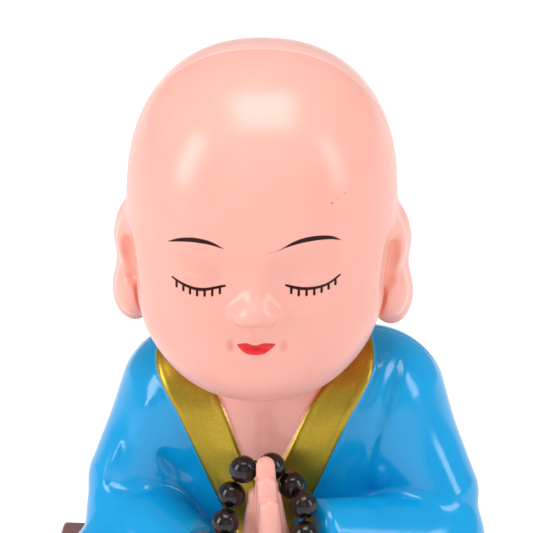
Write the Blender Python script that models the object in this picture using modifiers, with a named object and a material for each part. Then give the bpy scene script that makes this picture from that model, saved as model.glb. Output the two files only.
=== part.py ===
"""A seated baby monk figure in moulded plastic, praying, with a loop of beads over its hands.

Metres, +Z up. The figure faces -Y and the origin is the centre of the base's underside. Its soft
forms are drawn in figure units, which are millimetres at the drawn height, measured from the middle
of the seat. Each form gives a distance to its surface, negative inside, and the forms are melted
together into one skin, as a modeller does in clay before the moulds are cut.
"""

import math

import bmesh
import bpy
import numpy as np
from mathutils import Matrix, Vector

MM = 0.001

# The base, a plain slab
BASE_WIDTH = 106 * MM
BASE_DEPTH = 74 * MM
BASE_HEIGHT = 12 * MM
BASE_EDGE = 1.0 * MM

# The figure from its seat to its crown: the forms below are drawn at the drawn height. The seat is
# a little under the level from which they are measured, and the figure sits behind the base's middle
FIGURE_HEIGHT = 128 * MM
DRAWN_HEIGHT = 128.0
UNIT = FIGURE_HEIGHT / DRAWN_HEIGHT
DRAWN_SEAT = -1.8
FIGURE_SETBACK = 5 * MM

# The head's middle, and how far it bows and turns
HEAD_CENTRE = (-4.0, -7.0, 88.3)
HEAD_BOW = math.radians(4.5)
HEAD_TURN = math.radians(2.4)
HEAD_UNDERSIDE = 53.0

# The head is moulded in two shells and so is the body: distances behind the head's and body's middle
HEAD_PARTING = 3.2
BODY_PARTING = 5.0

# The neck is a plug on the body that enters a socket in the head
NECK_RADIUS = 8.0 * MM
NECK_INSERTION = 6.0 * MM
NECK_CLEARANCE = 0.4 * MM
PLUG_LENGTH = 26 * MM
SOCKET_TOOL_LENGTH = 60 * MM
COLLAR_CLEARANCE = 1.1
COLLAR_SOFTNESS = 1.2

# Touching pieces keep this gap
GAP = 0.3 * MM

# The beads, their elastic thread and the space round them
BEAD_DIAMETER = 6.0 * MM
BEAD_GAP = 0.2 * MM
BEAD_CLEARANCE = 0.9 * MM
THREAD_DIAMETER = 0.5 * MM
THREAD_CLEARANCE = 0.7 * MM
BEAD_SIDES = 10
BEAD_RINGS = 6

# Fineness of the solids
VOXEL = 1.0
SLOPE_REACH = 0.05
SETTLING_STEPS = 13
HEAD_FRONT_TRIANGLES = 2450
HEAD_BACK_TRIANGLES = 600
BODY_FRONT_TRIANGLES = 6100
BODY_BACK_TRIANGLES = 1500
DETAIL_WEIGHT = 0.9
DETAIL_CARE = 0.02

LEFT = -1
RIGHT = 1


def ball(centre, radii, fullness=2.0):
    """An egg-shaped form with its own half sizes along x, y and z, boxier with more fullness."""
    return ("ball", np.array(centre, float), np.array(radii, float), fullness)


def limb(start, end, start_radius, end_radius):
    """A round form that tapers from one end to the other."""
    return ("limb", np.array(start, float), np.array(end, float), start_radius, end_radius)


def form_distance(form, points):
    """How far points lie outside a form."""
    if form[0] == "ball":
        scaled = np.abs((points - form[1]) / form[2])
        full = form[3]
        reach = (scaled**full).sum(axis=1) ** (1 / full)
        lean = (scaled / np.maximum(reach, 1e-9)[:, None]) ** (full - 1) / form[2]
        return (reach - 1) / np.maximum(np.linalg.norm(lean, axis=1), 1e-9)
    start, end, start_radius, end_radius = form[1:]
    along = end - start
    share = np.clip((points - start) @ along / (along @ along), 0, 1)
    nearest = start + share[:, None] * along
    return np.linalg.norm(points - nearest, axis=1) - (start_radius + share * (end_radius - start_radius))


def melt(first, second, softness):
    """The union of two distances with a soft fillet between them."""
    overlap = np.maximum(softness - np.abs(first - second), 0) / softness
    return np.minimum(first, second) - overlap * overlap * softness / 4


def carve(body, tool, softness):
    """One distance cut away from another with a soft edge."""
    return -melt(-body, tool, softness)


def melted(forms, points, softness):
    """All forms of a list melted together."""
    total = form_distance(forms[0], points)
    for form in forms[1:]:
        total = melt(total, form_distance(form, points), softness)
    return total


# The head, drawn about its own middle, facing -y
SKULL = [
    ball((0, 1.5, 6.0), (28.7, 30.5, 31.2), 2.25),
    ball((0, -3.0, -10.0), (25.0, 24.5, 25.0), 2.2),
]
CHEEKS = [ball((side * 10.5, -13.5, -16.5), (11.2, 11.0, 11.2)) for side in (LEFT, RIGHT)]
CHIN = [ball((0, -16.0, -24.5), (12.0, 9.5, 8.0))]
NOSE = [
    ball((-0.2, -29.2, -8.6), (3.8, 3.5, 3.0)),
    ball((-3.6, -28.0, -9.3), (2.2, 2.5, 2.1)),
    ball((3.2, -28.0, -9.3), (2.2, 2.5, 2.1)),
    limb((0, -27.4, -1.5), (-0.1, -28.0, -8.0), 1.7, 2.2),
]
LIPS = [
    limb((-3.5, -26.4, -16.5), (-1.1, -27.4, -16.5), 0.6, 1.1),
    limb((3.6, -26.4, -16.4), (1.2, -27.4, -16.5), 0.6, 1.1),
    ball((0, -27.1, -17.6), (3.0, 1.6, 1.0)),
]
LIDS = [ball((side * 11.4, -19.2, -1.9), (7.4, 7.8, 4.6)) for side in (LEFT, RIGHT)]
EARS = [
    form
    for side in (LEFT, RIGHT)
    for form in (
        ball((side * 28.0, 2.0, -4.8), (3.6, 3.6, 7.2)),
        ball((side * 27.6, 1.6, -18.0), (4.7, 3.4, 7.6)),
        limb((side * 27.4, 2.0, -6.0), (side * 27.0, 1.6, -16.0), 3.0, 3.0),
    )
]
SOCKETS = [ball((side * 10.8, -34.6, -1.2), (9.4, 7.4, 5.4)) for side in (LEFT, RIGHT)]
EAR_HOLLOWS = [limb((side * 29.3, -2.0, -3.5), (side * 28.6, -1.9, -11.0), 0.8, 0.8) for side in (LEFT, RIGHT)]


def head_distance(points):
    """The head's skin, in its own frame."""
    skin = melted(SKULL, points, 9)
    skin = melt(skin, melted(CHEEKS, points, 8), 9)
    skin = melt(skin, melted(CHIN, points, 8), 11)
    skin = carve(skin, melted(SOCKETS, points, 4), 5)
    skin = melt(skin, melted(LIDS, points, 1), 1.6)
    skin = melt(skin, melted(NOSE, points, 2), 2.0)
    skin = melt(skin, melted(LIPS, points, 0.8), 0.8)
    skin = melt(skin, melted(EARS, points, 3), 2.0)
    return carve(skin, melted(EAR_HOLLOWS, points, 1), 0.8)


def head_matrix():
    """From the head's own frame to the figure's."""
    turn = Matrix.Rotation(HEAD_TURN, 4, "Z") @ Matrix.Rotation(HEAD_BOW, 4, "X")
    return Matrix.Translation(HEAD_CENTRE) @ turn


def into_head(points):
    """Points of the figure's frame, seen in the head's own frame."""
    inverse = np.array(head_matrix().inverted())
    return points @ inverse[:3, :3].T + inverse[:3, 3]


# The robed body, seat at z = 0
TORSO = [
    ball((0, 6, 26), (28, 19, 32)),
    limb((-19, 4, 45), (19, 4, 46.2), 11.5, 11.5),
]
UPPER_ARMS = [
    limb((-23.2, 3, 42.8), (-32.6, -1, 24), 12.4, 10.2),
    limb((22.6, 3, 42.8), (33.0, -1, 23), 12.2, 10.0),
]
ELBOWS = {LEFT: (-33.0, -5.0, 18.0), RIGHT: (35.0, -5.0, 14.5)}
WRISTS = {LEFT: (-15.0, -27.0, 16.0), RIGHT: (9.0, -27.0, 24.3)}
HAND_ROOTS = {LEFT: (-13.0, -26.5, 16.5), RIGHT: (9.5, -26.5, 20.5)}
ELBOW_RADIUS = 9.5
WRIST_RADIUS = 7.0
SLEEVE_DROP = 9.0
CUFF_REACH = 1.5
CUFF_WALL = 2.0
CUFF_DEPTH = 3.5
HANDS_MIDDLE = -0.8
LEGS = [
    form
    for side in (LEFT, RIGHT)
    for form in (
        limb((side * 22, 10, 7.5), (side * 35, -12, 7.5), 12.0, 10.0),
        limb((side * 35, -13, 6.5), (side * 3, -26, 5.5), 9.5, 8.5),
    )
]
LAP = [ball((0, 2, 5), (41, 27, 13))]
NECK = [limb((-3.0, 0.0, 40.0), (-3.4, -1.5, 47.0), 13.0, 11.5)]


def sleeve_forms(side):
    """One sleeve from elbow to wrist, with the cloth that hangs under it."""
    elbow = Vector(ELBOWS[side])
    wrist = Vector(WRISTS[side])
    drop = Vector((0, 0, -SLEEVE_DROP))
    return [
        limb(elbow, wrist, ELBOW_RADIUS, WRIST_RADIUS),
        limb(elbow + drop * 0.5, wrist + drop, ELBOW_RADIUS * 0.8, WRIST_RADIUS * 0.8),
    ]


def rough_sleeve_forms(side):
    """A sleeve's forms with their round ends drawn back behind the cuff, to be remeshed from."""
    forms = []
    for _, start, end, start_radius, end_radius in sleeve_forms(side):
        along = (end - start) / np.linalg.norm(end - start)
        forms.append(limb(start, end - along * (end_radius - CUFF_REACH), start_radius, end_radius))
    return forms


def hand_forms(side):
    """One hand: wrist, palm, four fingers and the thumb, pressed against its fellow."""

    def place(out, y, z):
        return (HANDS_MIDDLE + side * out, y, z)

    palm = place(2.4, -29.5, 20.0)
    return [
        limb(HAND_ROOTS[side], palm, 3.9, 3.5),
        limb(palm, place(1.4, -30.6, 33.0), 3.5, 2.0),
        limb(place(2.0, -33.0, 23.0), place(1.3, -34.2, 33.9), 2.0, 1.3),
        limb(place(1.8, -31.6, 27.0), place(1.1, -33.0, 38.5), 2.0, 1.3),
        limb(place(1.6, -29.8, 27.0), place(0.9, -31.7, 42.2), 1.9, 1.2),
        limb(place(1.5, -28.6, 27.0), place(0.9, -30.2, 40.2), 1.7, 1.2),
        limb(place(1.6, -27.0, 22.0), place(1.0, -28.2, 31.5), 1.7, 1.2),
    ]


def cuff_distance(side, points):
    """Beyond the plane of the cuff, towards the hand, where the sleeve ends."""
    elbow = np.array(ELBOWS[side])
    wrist = np.array(WRISTS[side])
    along = (wrist - elbow) / np.linalg.norm(wrist - elbow)
    return (points - wrist) @ along - CUFF_REACH


def sleeve_distance(side, points):
    """A sleeve cut off square at the cuff and hollow for a short way."""
    outside = melted(sleeve_forms(side), points, 4)
    cuff = cuff_distance(side, points)
    hollow = np.maximum(outside + CUFF_WALL, -cuff - CUFF_DEPTH)
    return np.maximum(np.maximum(outside, cuff), -hollow)


# The neckline, two bands that cross in front behind the hands and meet behind the neck
NECKLINE_FRONT = {
    LEFT: [(-2.2, -22, 19), (-9.7, -20, 33), (-16.4, -15, 46), (-23.0, -6, 54.5)],
    RIGHT: [(-2.2, -22, 19), (4.6, -20, 33), (10.8, -15, 46), (16.5, -6, 54.5)],
}
NECKLINE_BEHIND = {
    LEFT: [(-20.5, 6, 57), (-12, 14, 57)],
    RIGHT: [(13.5, 6, 57), (5, 14, 57)],
}
NAPE = (-3.4, 16.5, 56)
# The neckline's front is drawn on a slant before the chest and carried onto it along this direction
DRAWING_SLANT = np.array((-0.08, 0.927, -0.366))
CARRYING_START = 40
CARRYING_STEPS = 60
BAND_HALF_WIDTH = {LEFT: 4.0, RIGHT: 3.1}
BAND_HEIGHT = 0.9
BAND_EDGE = 1.3
BAND_LINE_POINTS = 40

# Folds of the robe: a line along each, its half width and its depth. The armhole's groove and the
# creases at the elbows show in front, and the plain folds behind and on the lap run on both sides
FOLDS = [
    ([(25.5, -2.3, 56.4), (24.7, -6.4, 53.7), (23.4, -9.3, 49.7), (21.8, -10.7, 43.7), (19.0, -9.7, 31.0)], 1.5, 1.0),
    ([(19.1, -20.7, 30.4), (22.5, -20.4, 29.0), (25.7, -19.2, 27.6)], 1.4, 0.9),
    ([(-25.9, -10.4, 34.8), (-22.7, -9.9, 30.9), (-18.5, -9.1, 27.4)], 2.2, 0.9),
    ([(-38.5, -9.0, 27.0), (-34.0, -12.5, 26.5), (-27.0, -14.0, 27.0)], 1.4, 0.9),
]
SIDE_FOLDS = [
    ([(7.0, -34.0, 9.0), (18.0, -31.5, 12.5), (30.0, -24.0, 13.0)], 1.6, 1.1),
    ([(12.0, -33.5, 4.0), (24.0, -30.0, 5.0), (36.0, -22.0, 6.0)], 1.6, 1.0),
    ([(12.0, 22.0, 50.0), (10.0, 25.5, 38.0), (13.0, 26.0, 22.0)], 2.2, 1.2),
    ([(24.0, 17.0, 46.0), (25.0, 21.0, 34.0), (29.0, 19.0, 20.0)], 2.0, 1.2),
    ([(42.0, -4.0, 30.0), (43.0, -8.0, 20.0), (40.0, -14.0, 12.0)], 1.6, 1.0),
]
FOLD_REACH = 3


def smooth_line(guides, count, closed=False):
    """Evenly counted points on a smooth line through a few guide points."""
    guides = np.array(guides, float)
    if closed:
        padded = np.vstack([guides[-1:], guides, guides[:2]])
    else:
        padded = np.vstack([2 * guides[:1] - guides[1:2], guides, 2 * guides[-1:] - guides[-2:-1]])
    spans = len(padded) - 3
    places = np.linspace(0, spans, count, endpoint=not closed)
    first = np.minimum(places.astype(int), spans - 1)
    share = (places - first)[:, None]
    before, start, end, after = (padded[first + step] for step in range(4))
    return 0.5 * (
        2 * start
        + (end - before) * share
        + (2 * before - 5 * start + 4 * end - after) * share**2
        + (3 * start - before - 3 * end + after) * share**3
    )


def surface_slope(points, distance):
    """The direction in which a distance grows, with its steepness."""
    slope = np.empty_like(points)
    for axis in range(3):
        shift = np.zeros(3)
        shift[axis] = SLOPE_REACH
        slope[:, axis] = (distance(points + shift) - distance(points - shift)) / (2 * SLOPE_REACH)
    return slope


def onto_surface(points, distance, steps):
    """Points moved straight onto the surface where the distance is nought."""
    for _ in range(steps):
        slope = surface_slope(points, distance)
        length = np.maximum((slope * slope).sum(axis=1), 0.25)
        points = points - np.clip(distance(points) / length, -VOXEL, VOXEL)[:, None] * slope
    return points


def chest_distance(points):
    """The robe over trunk, shoulders and lap, and the neck, without sleeves."""
    robe = melted(TORSO, points, 12)
    robe = melt(robe, melted(UPPER_ARMS, points, 6), 8)
    robe = melt(robe, melted(LAP + LEGS, points, 8), 6)
    return melt(robe, melted(NECK, points, 2), 4)


def fold_depth(points):
    """How far the folds sink the robe's surface."""
    depth = np.zeros(len(points))
    folds = list(FOLDS)
    for guides, width, deep in SIDE_FOLDS:
        folds += [([(side * x, y, z) for x, y, z in guides], width, deep) for side in (LEFT, RIGHT)]
    for guides, width, deep in folds:
        low = np.min(guides, axis=0) - FOLD_REACH * width
        high = np.max(guides, axis=0) + FOLD_REACH * width
        near = ((points > low) & (points < high)).all(axis=1)
        away = line_distance(smooth_line(guides, 3 * len(guides)), points[near])
        depth[near] += deep * np.exp(-((away / width) ** 2))
    return depth


def bare_distance(points):
    """Robe and neck under the neckline's bands."""
    skin = chest_distance(points)
    for side in (LEFT, RIGHT):
        skin = melt(skin, sleeve_distance(side, points), 2.5)
    return skin + fold_depth(points)


def carried_onto(points, distance, direction):
    """Points carried along a direction until they meet the surface."""
    points = points - direction * CARRYING_START
    for _ in range(CARRYING_STEPS):
        points = points + distance(points)[:, None] * direction
    return points


def band_line(side):
    """The middle of one neckline band, lying on the chest and round the neck."""
    front = carried_onto(np.array(NECKLINE_FRONT[side], float), chest_distance, DRAWING_SLANT)
    guides = list(front) + NECKLINE_BEHIND[side] + [NAPE]
    return onto_surface(smooth_line(guides, BAND_LINE_POINTS), chest_distance, SETTLING_STEPS)


def line_distance(line, points):
    """How far points are from a line of short straight runs."""
    nearest = np.full(len(points), np.inf)
    for start, end in zip(line[:-1], line[1:]):
        run = end - start
        share = np.clip((points - start) @ run / (run @ run), 0, 1)
        away = points - start - share[:, None] * run
        nearest = np.minimum(nearest, np.einsum("ij,ij->i", away, away))
    return np.sqrt(nearest)


def band_lift(points):
    """How much the neckline's bands raise the surface."""
    lift = np.zeros(len(points))
    for side in (LEFT, RIGHT):
        inside = BAND_HALF_WIDTH[side] - line_distance(BAND_LINES[side], points)
        lift = np.maximum(lift, BAND_HEIGHT * np.clip(inside / BAND_EDGE + 0.5, 0, 1))
    return lift


BAND_LINES = {side: band_line(side) for side in (LEFT, RIGHT)}


def body_distance(points):
    """The whole skin of the body, with the hollow in which the head sits."""
    skin = bare_distance(points) - band_lift(points)
    hands = melted(hand_forms(LEFT) + hand_forms(RIGHT), points, 1.2)
    skin = melt(skin, hands, 0.6)
    return carve(skin, head_distance(into_head(points)) - COLLAR_CLEARANCE, COLLAR_SOFTNESS)


def add_form(mesh, form):
    """Adds a form's rough primitive to a mesh that is still to be remeshed."""
    if form[0] == "ball":
        place = Matrix.Translation(form[1]) @ Matrix.Diagonal((*form[2], 1))
        bmesh.ops.create_icosphere(mesh, subdivisions=4, radius=1, matrix=place)
        return
    start, end = Vector(form[1]), Vector(form[2])
    along = end - start
    turn = along.to_track_quat("Z", "Y").to_matrix().to_4x4()
    for centre, radius in ((start, form[3]), (end, form[4])):
        place = Matrix.Translation(centre)
        bmesh.ops.create_icosphere(mesh, subdivisions=3, radius=radius, matrix=place)
    place = Matrix.Translation((start + end) / 2) @ turn
    bmesh.ops.create_cone(
        mesh, cap_ends=True, segments=24, radius1=form[3], radius2=form[4], depth=along.length, matrix=place
    )


def evaluated_mesh(body):
    """The mesh of an object with its modifiers applied."""
    graph = bpy.context.evaluated_depsgraph_get()
    return bpy.data.meshes.new_from_object(body.evaluated_get(graph))


def apply_modifiers(body):
    """Turns an object's modifiers into its own mesh."""
    mesh = evaluated_mesh(body)
    body.modifiers.clear()
    body.data = mesh


def settle(mesh, distance, steps):
    """Moves every vertex of a mesh onto the surface where the distance is nought."""
    points = np.empty(len(mesh.vertices) * 3)
    mesh.vertices.foreach_get("co", points)
    points = onto_surface(points.reshape(-1, 3), distance, steps)
    mesh.vertices.foreach_set("co", points.ravel())
    mesh.update()


def body_detail(points):
    """True on the neckline, the hands and the cuffs, which keep more faces."""
    hands = melted(hand_forms(LEFT) + hand_forms(RIGHT), points, 1.2)
    fine = (band_lift(points) > 0.01) | (hands < 1)
    for side in (LEFT, RIGHT):
        fine |= (np.abs(cuff_distance(side, points)) < CUFF_DEPTH) & (sleeve_distance(side, points) < 1)
    return fine


def head_detail(points):
    """True on the nose, the lips and the ears, which keep more faces."""
    return melted(NOSE + LIPS + EARS, points, 1) < 0.6


def thinned(body, triangles, detail):
    """Fewer faces, taken mostly where there is no detail."""
    points = np.empty(len(body.data.vertices) * 3)
    body.data.vertices.foreach_get("co", points)
    fine = detail(points.reshape(-1, 3))
    group = body.vertex_groups.new(name="may thin")
    group.add(np.flatnonzero(~fine).tolist(), 1.0, "REPLACE")
    group.add(np.flatnonzero(fine).tolist(), DETAIL_WEIGHT, "REPLACE")
    thin = body.modifiers.new("fewer faces", "DECIMATE")
    thin.ratio = triangles / (2 * len(body.data.polygons))
    thin.vertex_group = group.name
    thin.vertex_group_factor = DETAIL_CARE
    apply_modifiers(body)
    body.vertex_groups.clear()


def melted_solid(name, forms, distance, collection):
    """A solid of melted forms, in figure units."""
    rough = bmesh.new()
    for form in forms:
        add_form(rough, form)
    mesh = bpy.data.meshes.new(name)
    rough.to_mesh(mesh)
    rough.free()
    body = bpy.data.objects.new(name, mesh)
    collection.objects.link(body)
    remesh = body.modifiers.new("one skin", "REMESH")
    remesh.mode = "VOXEL"
    remesh.voxel_size = VOXEL
    apply_modifiers(body)
    settle(body.data, distance, SETTLING_STEPS)
    return body


def cut_flat(body, point, normal):
    """Cuts a body on a plane, keeps the side the normal points away from, and closes the cut."""
    mesh = bmesh.new()
    mesh.from_mesh(body.data)
    geometry = mesh.verts[:] + mesh.edges[:] + mesh.faces[:]
    cut = bmesh.ops.bisect_plane(mesh, geom=geometry, plane_co=point, plane_no=normal, clear_outer=True)
    edges = [item for item in cut["geom_cut"] if isinstance(item, bmesh.types.BMEdge)]
    bmesh.ops.holes_fill(mesh, edges=edges, sides=0)
    bmesh.ops.triangulate(mesh, faces=[face for face in mesh.faces if len(face.verts) > 4])
    mesh.to_mesh(body.data)
    mesh.free()


def join_or_cut(body, tool, operation):
    """Applies an exact Boolean of one object with another."""
    change = body.modifiers.new("neck", "BOOLEAN")
    change.operation = operation
    change.object = tool
    change.solver = "EXACT"
    apply_modifiers(body)


def figure_matrix():
    """From figure units to the real place and size, on top of the base."""
    place = Matrix.Translation((0, FIGURE_SETBACK, BASE_HEIGHT + GAP - DRAWN_SEAT * UNIT))
    return place @ Matrix.Scale(UNIT, 4)


def place_figure(body):
    """Takes a mesh in figure units to its real place and size."""
    body.data.transform(figure_matrix())


def material(name, colour, roughness, metallic=0.0):
    """A Principled material."""
    finish = bpy.data.materials.new(name)
    finish.use_nodes = True
    shader = finish.node_tree.nodes["Principled BSDF"]
    shader.inputs["Base Color"].default_value = (*colour, 1)
    shader.inputs["Roughness"].default_value = roughness
    shader.inputs["Metallic"].default_value = metallic
    return finish


def finish_object(body, finish):
    """Gives an object its material and a smooth look."""
    body.data.materials.clear()
    body.data.materials.append(finish)
    body.data.shade_smooth()
    body.data.set_sharp_from_angle(angle=math.radians(32))


def copy_of(body, name, collection):
    """Another object with its own copy of a mesh."""
    twin = bpy.data.objects.new(name, body.data.copy())
    collection.objects.link(twin)
    return twin


def cylinder(name, radius, bottom, top, centre, collection):
    """A closed upright cylinder in metres."""
    mesh = bmesh.new()
    place = Matrix.Translation((centre[0], centre[1], (bottom + top) / 2))
    bmesh.ops.create_cone(
        mesh, cap_ends=True, segments=32, radius1=radius, radius2=radius, depth=top - bottom, matrix=place
    )
    data = bpy.data.meshes.new(name)
    mesh.to_mesh(data)
    mesh.free()
    body = bpy.data.objects.new(name, data)
    collection.objects.link(body)
    body.hide_render = True
    body.display_type = "WIRE"
    return body


def make_base(parts):
    """The slab that everything stands on."""
    bpy.ops.mesh.primitive_cube_add(size=1)
    base = bpy.context.object
    base.name = "base"
    base.data.transform(Matrix.Diagonal((BASE_WIDTH, BASE_DEPTH, BASE_HEIGHT, 1)))
    base.data.transform(Matrix.Translation((0, 0, BASE_HEIGHT / 2)))
    edge = base.modifiers.new("rounded edges", "BEVEL")
    edge.width = BASE_EDGE
    edge.segments = 3
    for collection in base.users_collection:
        collection.objects.unlink(base)
    parts.objects.link(base)
    finish_object(base, material("brown plastic", (0.21, 0.1, 0.1), 0.45))
    return base


def neck_middle():
    """The middle of the neck, across and in depth."""
    return (HEAD_CENTRE[0] * UNIT, FIGURE_SETBACK)


def make_head(parts, cutters, neck_top):
    """The face shell and the back shell, with half the neck's socket in each."""
    forms = SKULL + CHEEKS + CHIN + NOSE + LIPS + LIDS + EARS
    whole = melted_solid("head_front", forms, head_distance, parts)
    back = copy_of(whole, "head_back", parts)
    thinned(whole, HEAD_FRONT_TRIANGLES, head_detail)
    thinned(back, HEAD_BACK_TRIANGLES, head_detail)
    half_gap = GAP / UNIT / 2
    cut_flat(whole, (0, HEAD_PARTING - half_gap, 0), (0, 1, 0))
    cut_flat(back, (0, HEAD_PARTING + half_gap, 0), (0, -1, 0))
    socket = cylinder(
        "neck_socket", NECK_RADIUS + NECK_CLEARANCE, neck_top - SOCKET_TOOL_LENGTH, neck_top + GAP, neck_middle(), cutters
    )
    skin = material("skin plastic", (0.95, 0.55, 0.45), 0.3)
    for shell in (whole, back):
        shell.data.transform(head_matrix())
        place_figure(shell)
        join_or_cut(shell, socket, "DIFFERENCE")
        finish_object(shell, skin)
    return whole, back


def make_body(parts, cutters, neck_top):
    """The front and back shells of the robed body, with the neck's plug on them."""
    forms = TORSO + UPPER_ARMS + LAP + LEGS + NECK
    for side in (LEFT, RIGHT):
        forms = forms + rough_sleeve_forms(side) + hand_forms(side)
    whole = melted_solid("body_front", forms, body_distance, parts)
    back = copy_of(whole, "body_back", parts)
    thinned(whole, BODY_FRONT_TRIANGLES, body_detail)
    thinned(back, BODY_BACK_TRIANGLES, body_detail)
    plug = cylinder("neck_plug", NECK_RADIUS, neck_top - PLUG_LENGTH, neck_top, neck_middle(), cutters)
    for shell in (whole, back):
        cut_flat(shell, (0, 0, DRAWN_SEAT), (0, 0, -1))
        place_figure(shell)
        join_or_cut(shell, plug, "UNION")
    parting = BODY_PARTING * UNIT + FIGURE_SETBACK
    cut_flat(whole, (0, parting - GAP / 2, 0), (0, 1, 0))
    cut_flat(back, (0, parting + GAP / 2, 0), (0, -1, 0))
    robe = material("blue plastic", (0.01, 0.26, 0.6), 0.25)
    for shell in (whole, back):
        finish_object(shell, robe)
    return whole, back


# The loop of beads: over the thumbs behind the fingertips, down beside the hands, in front of the
# cuffs and across the lap. It starts at the bead behind the fingertips and goes to the left hand side
BEAD_ROUTE = [
    (-0.4, -24.9, 38.0),
    (-6.3, -26.8, 38.1),
    (-8.7, -26.8, 32.5),
    (-9.6, -31.0, 28.3),
    (-9.7, -35.2, 24.1),
    (-9.9, -37.6, 18.5),
    (-9.2, -38.6, 12.6),
    (-6.0, -39.3, 7.6),
    (0.0, -39.5, 5.6),
    (6.0, -39.3, 7.6),
    (9.6, -38.6, 12.4),
    (10.6, -36.6, 18.0),
    (9.4, -32.8, 23.0),
    (8.4, -30.8, 25.6),
    (6.2, -27.6, 29.4),
    (3.6, -24.5, 33.2),
]
ROUTE_FINENESS = 600
PUSHING_STEPS = 12
EASING_STEPS = 8


def bead_centres():
    """The middles of the beads in figure units, evenly spaced round the loop and clear of the body."""
    route = smooth_line(BEAD_ROUTE, ROUTE_FINENESS, closed=True)
    room = (BEAD_DIAMETER / 2 + BEAD_CLEARANCE) / UNIT
    for _ in range(PUSHING_STEPS):
        short = np.maximum(room - body_distance(route), 0)
        route = route + short[:, None] * surface_slope(route, body_distance)
        for _ in range(EASING_STEPS):
            route = (np.roll(route, 1, axis=0) + 2 * route + np.roll(route, -1, axis=0)) / 4
    runs = np.linalg.norm(np.roll(route, -1, axis=0) - route, axis=1)
    length = runs.sum()
    count = int(length * UNIT / (BEAD_DIAMETER + BEAD_GAP))
    along = np.concatenate([[0], np.cumsum(runs)])
    loop = np.vstack([route, route[:1]])
    places = np.arange(count) * length / count
    return np.stack([np.interp(places, along, loop[:, axis]) for axis in range(3)], axis=1)


def bead_profile():
    """The outline of a bored bead, outer side first, from top to bottom."""
    radius = BEAD_DIAMETER / 2
    bore = THREAD_DIAMETER / 2 + THREAD_CLEARANCE
    tilt = math.acos(bore / radius)
    angles = [tilt - 2 * tilt * step / BEAD_RINGS for step in range(BEAD_RINGS + 1)]
    return [(radius * math.cos(angle), 0, radius * math.sin(angle)) for angle in angles]


def make_beads(parts):
    """The beads, each turned and bored, and the thread that runs through them."""
    centres = bead_centres()
    placed = [figure_matrix() @ Vector(centre) for centre in centres]
    profile = bead_profile()
    mesh = bpy.data.meshes.new("bead")
    edges = [(step, (step + 1) % len(profile)) for step in range(len(profile))]
    mesh.from_pydata(profile, edges, [])
    wood = material("dark bead", (0.02, 0.016, 0.014), 0.35)
    mesh.materials.append(wood)
    thread_points = []
    for number, centre in enumerate(placed):
        axis = (placed[(number + 1) % len(placed)] - placed[number - 1]).normalized()
        bead = bpy.data.objects.new(f"bead_{number + 1:02d}", mesh)
        parts.objects.link(bead)
        bead.matrix_world = Matrix.Translation(centre) @ axis.to_track_quat("Z", "Y").to_matrix().to_4x4()
        turn = bead.modifiers.new("turned", "SCREW")
        turn.steps = BEAD_SIDES
        turn.render_steps = BEAD_SIDES
        turn.use_merge_vertices = True
        turn.merge_threshold = 0.01 * MM
        half = axis * BEAD_DIAMETER / 2
        thread_points += [centre - half, centre + half]
    curve = bpy.data.curves.new("bead_thread", "CURVE")
    curve.dimensions = "3D"
    curve.bevel_depth = THREAD_DIAMETER / 2
    curve.bevel_resolution = 2
    spline = curve.splines.new("POLY")
    spline.points.add(len(thread_points) - 1)
    for point, place in zip(spline.points, thread_points):
        point.co = (*place, 1)
    spline.use_cyclic_u = True
    curve.materials.append(material("dark elastic thread", (0.02, 0.02, 0.02), 0.6))
    parts.objects.link(bpy.data.objects.new("bead_thread", curve))


def main():
    """Builds the whole figure."""
    for item in list(bpy.data.objects):
        bpy.data.objects.remove(item)
    parts = bpy.data.collections.new("baby monk statue")
    cutters = bpy.data.collections.new("cutters")
    for collection in (parts, cutters):
        bpy.context.scene.collection.children.link(collection)
    neck_top = (figure_matrix() @ Vector((0, 0, HEAD_UNDERSIDE))).z + NECK_INSERTION
    make_base(parts)
    make_head(parts, cutters, neck_top)
    make_body(parts, cutters, neck_top)
    make_beads(parts)


main()
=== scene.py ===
"""The looks of the praying baby monk figure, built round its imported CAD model.

The soft forms are drawn in figure units, millimetres measured from the middle of the seat. A form
gives a distance to its surface, negative inside, and all forms melt into one skin. Most forms are
those of the part's own source. The hands, the ears, the neckline and the folds are drawn closer to
the photograph here, and this file adds the finer relief and the paint.
"""

import math

import bmesh
import bpy
import numpy as np
from mathutils import Matrix, Vector


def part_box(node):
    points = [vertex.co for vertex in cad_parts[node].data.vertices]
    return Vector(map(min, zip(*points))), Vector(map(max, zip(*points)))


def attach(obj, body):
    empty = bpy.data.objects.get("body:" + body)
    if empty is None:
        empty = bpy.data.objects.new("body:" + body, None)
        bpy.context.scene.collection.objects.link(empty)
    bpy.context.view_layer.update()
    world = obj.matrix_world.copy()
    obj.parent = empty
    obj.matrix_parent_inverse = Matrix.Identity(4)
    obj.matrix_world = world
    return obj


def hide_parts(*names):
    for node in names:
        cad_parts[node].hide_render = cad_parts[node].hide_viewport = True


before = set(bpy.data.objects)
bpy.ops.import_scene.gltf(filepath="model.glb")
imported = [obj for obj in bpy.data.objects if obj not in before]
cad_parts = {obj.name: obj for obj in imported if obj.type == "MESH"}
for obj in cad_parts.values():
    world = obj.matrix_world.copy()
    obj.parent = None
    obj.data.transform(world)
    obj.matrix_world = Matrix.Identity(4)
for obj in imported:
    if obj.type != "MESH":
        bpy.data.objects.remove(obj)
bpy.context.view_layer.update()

MM = 0.001
LEFT = -1
RIGHT = 1

# The base comes from the CAD frame, and the figure stands on it
base_low, base_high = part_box("base")
BASE_EDGE = 1.0 * MM
GAP = 0.3 * MM
FIGURE_HEIGHT = 128 * MM
DRAWN_HEIGHT = 128.0
UNIT = FIGURE_HEIGHT / DRAWN_HEIGHT
DRAWN_SEAT = -1.8
FIGURE_SETBACK = 5 * MM

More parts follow.
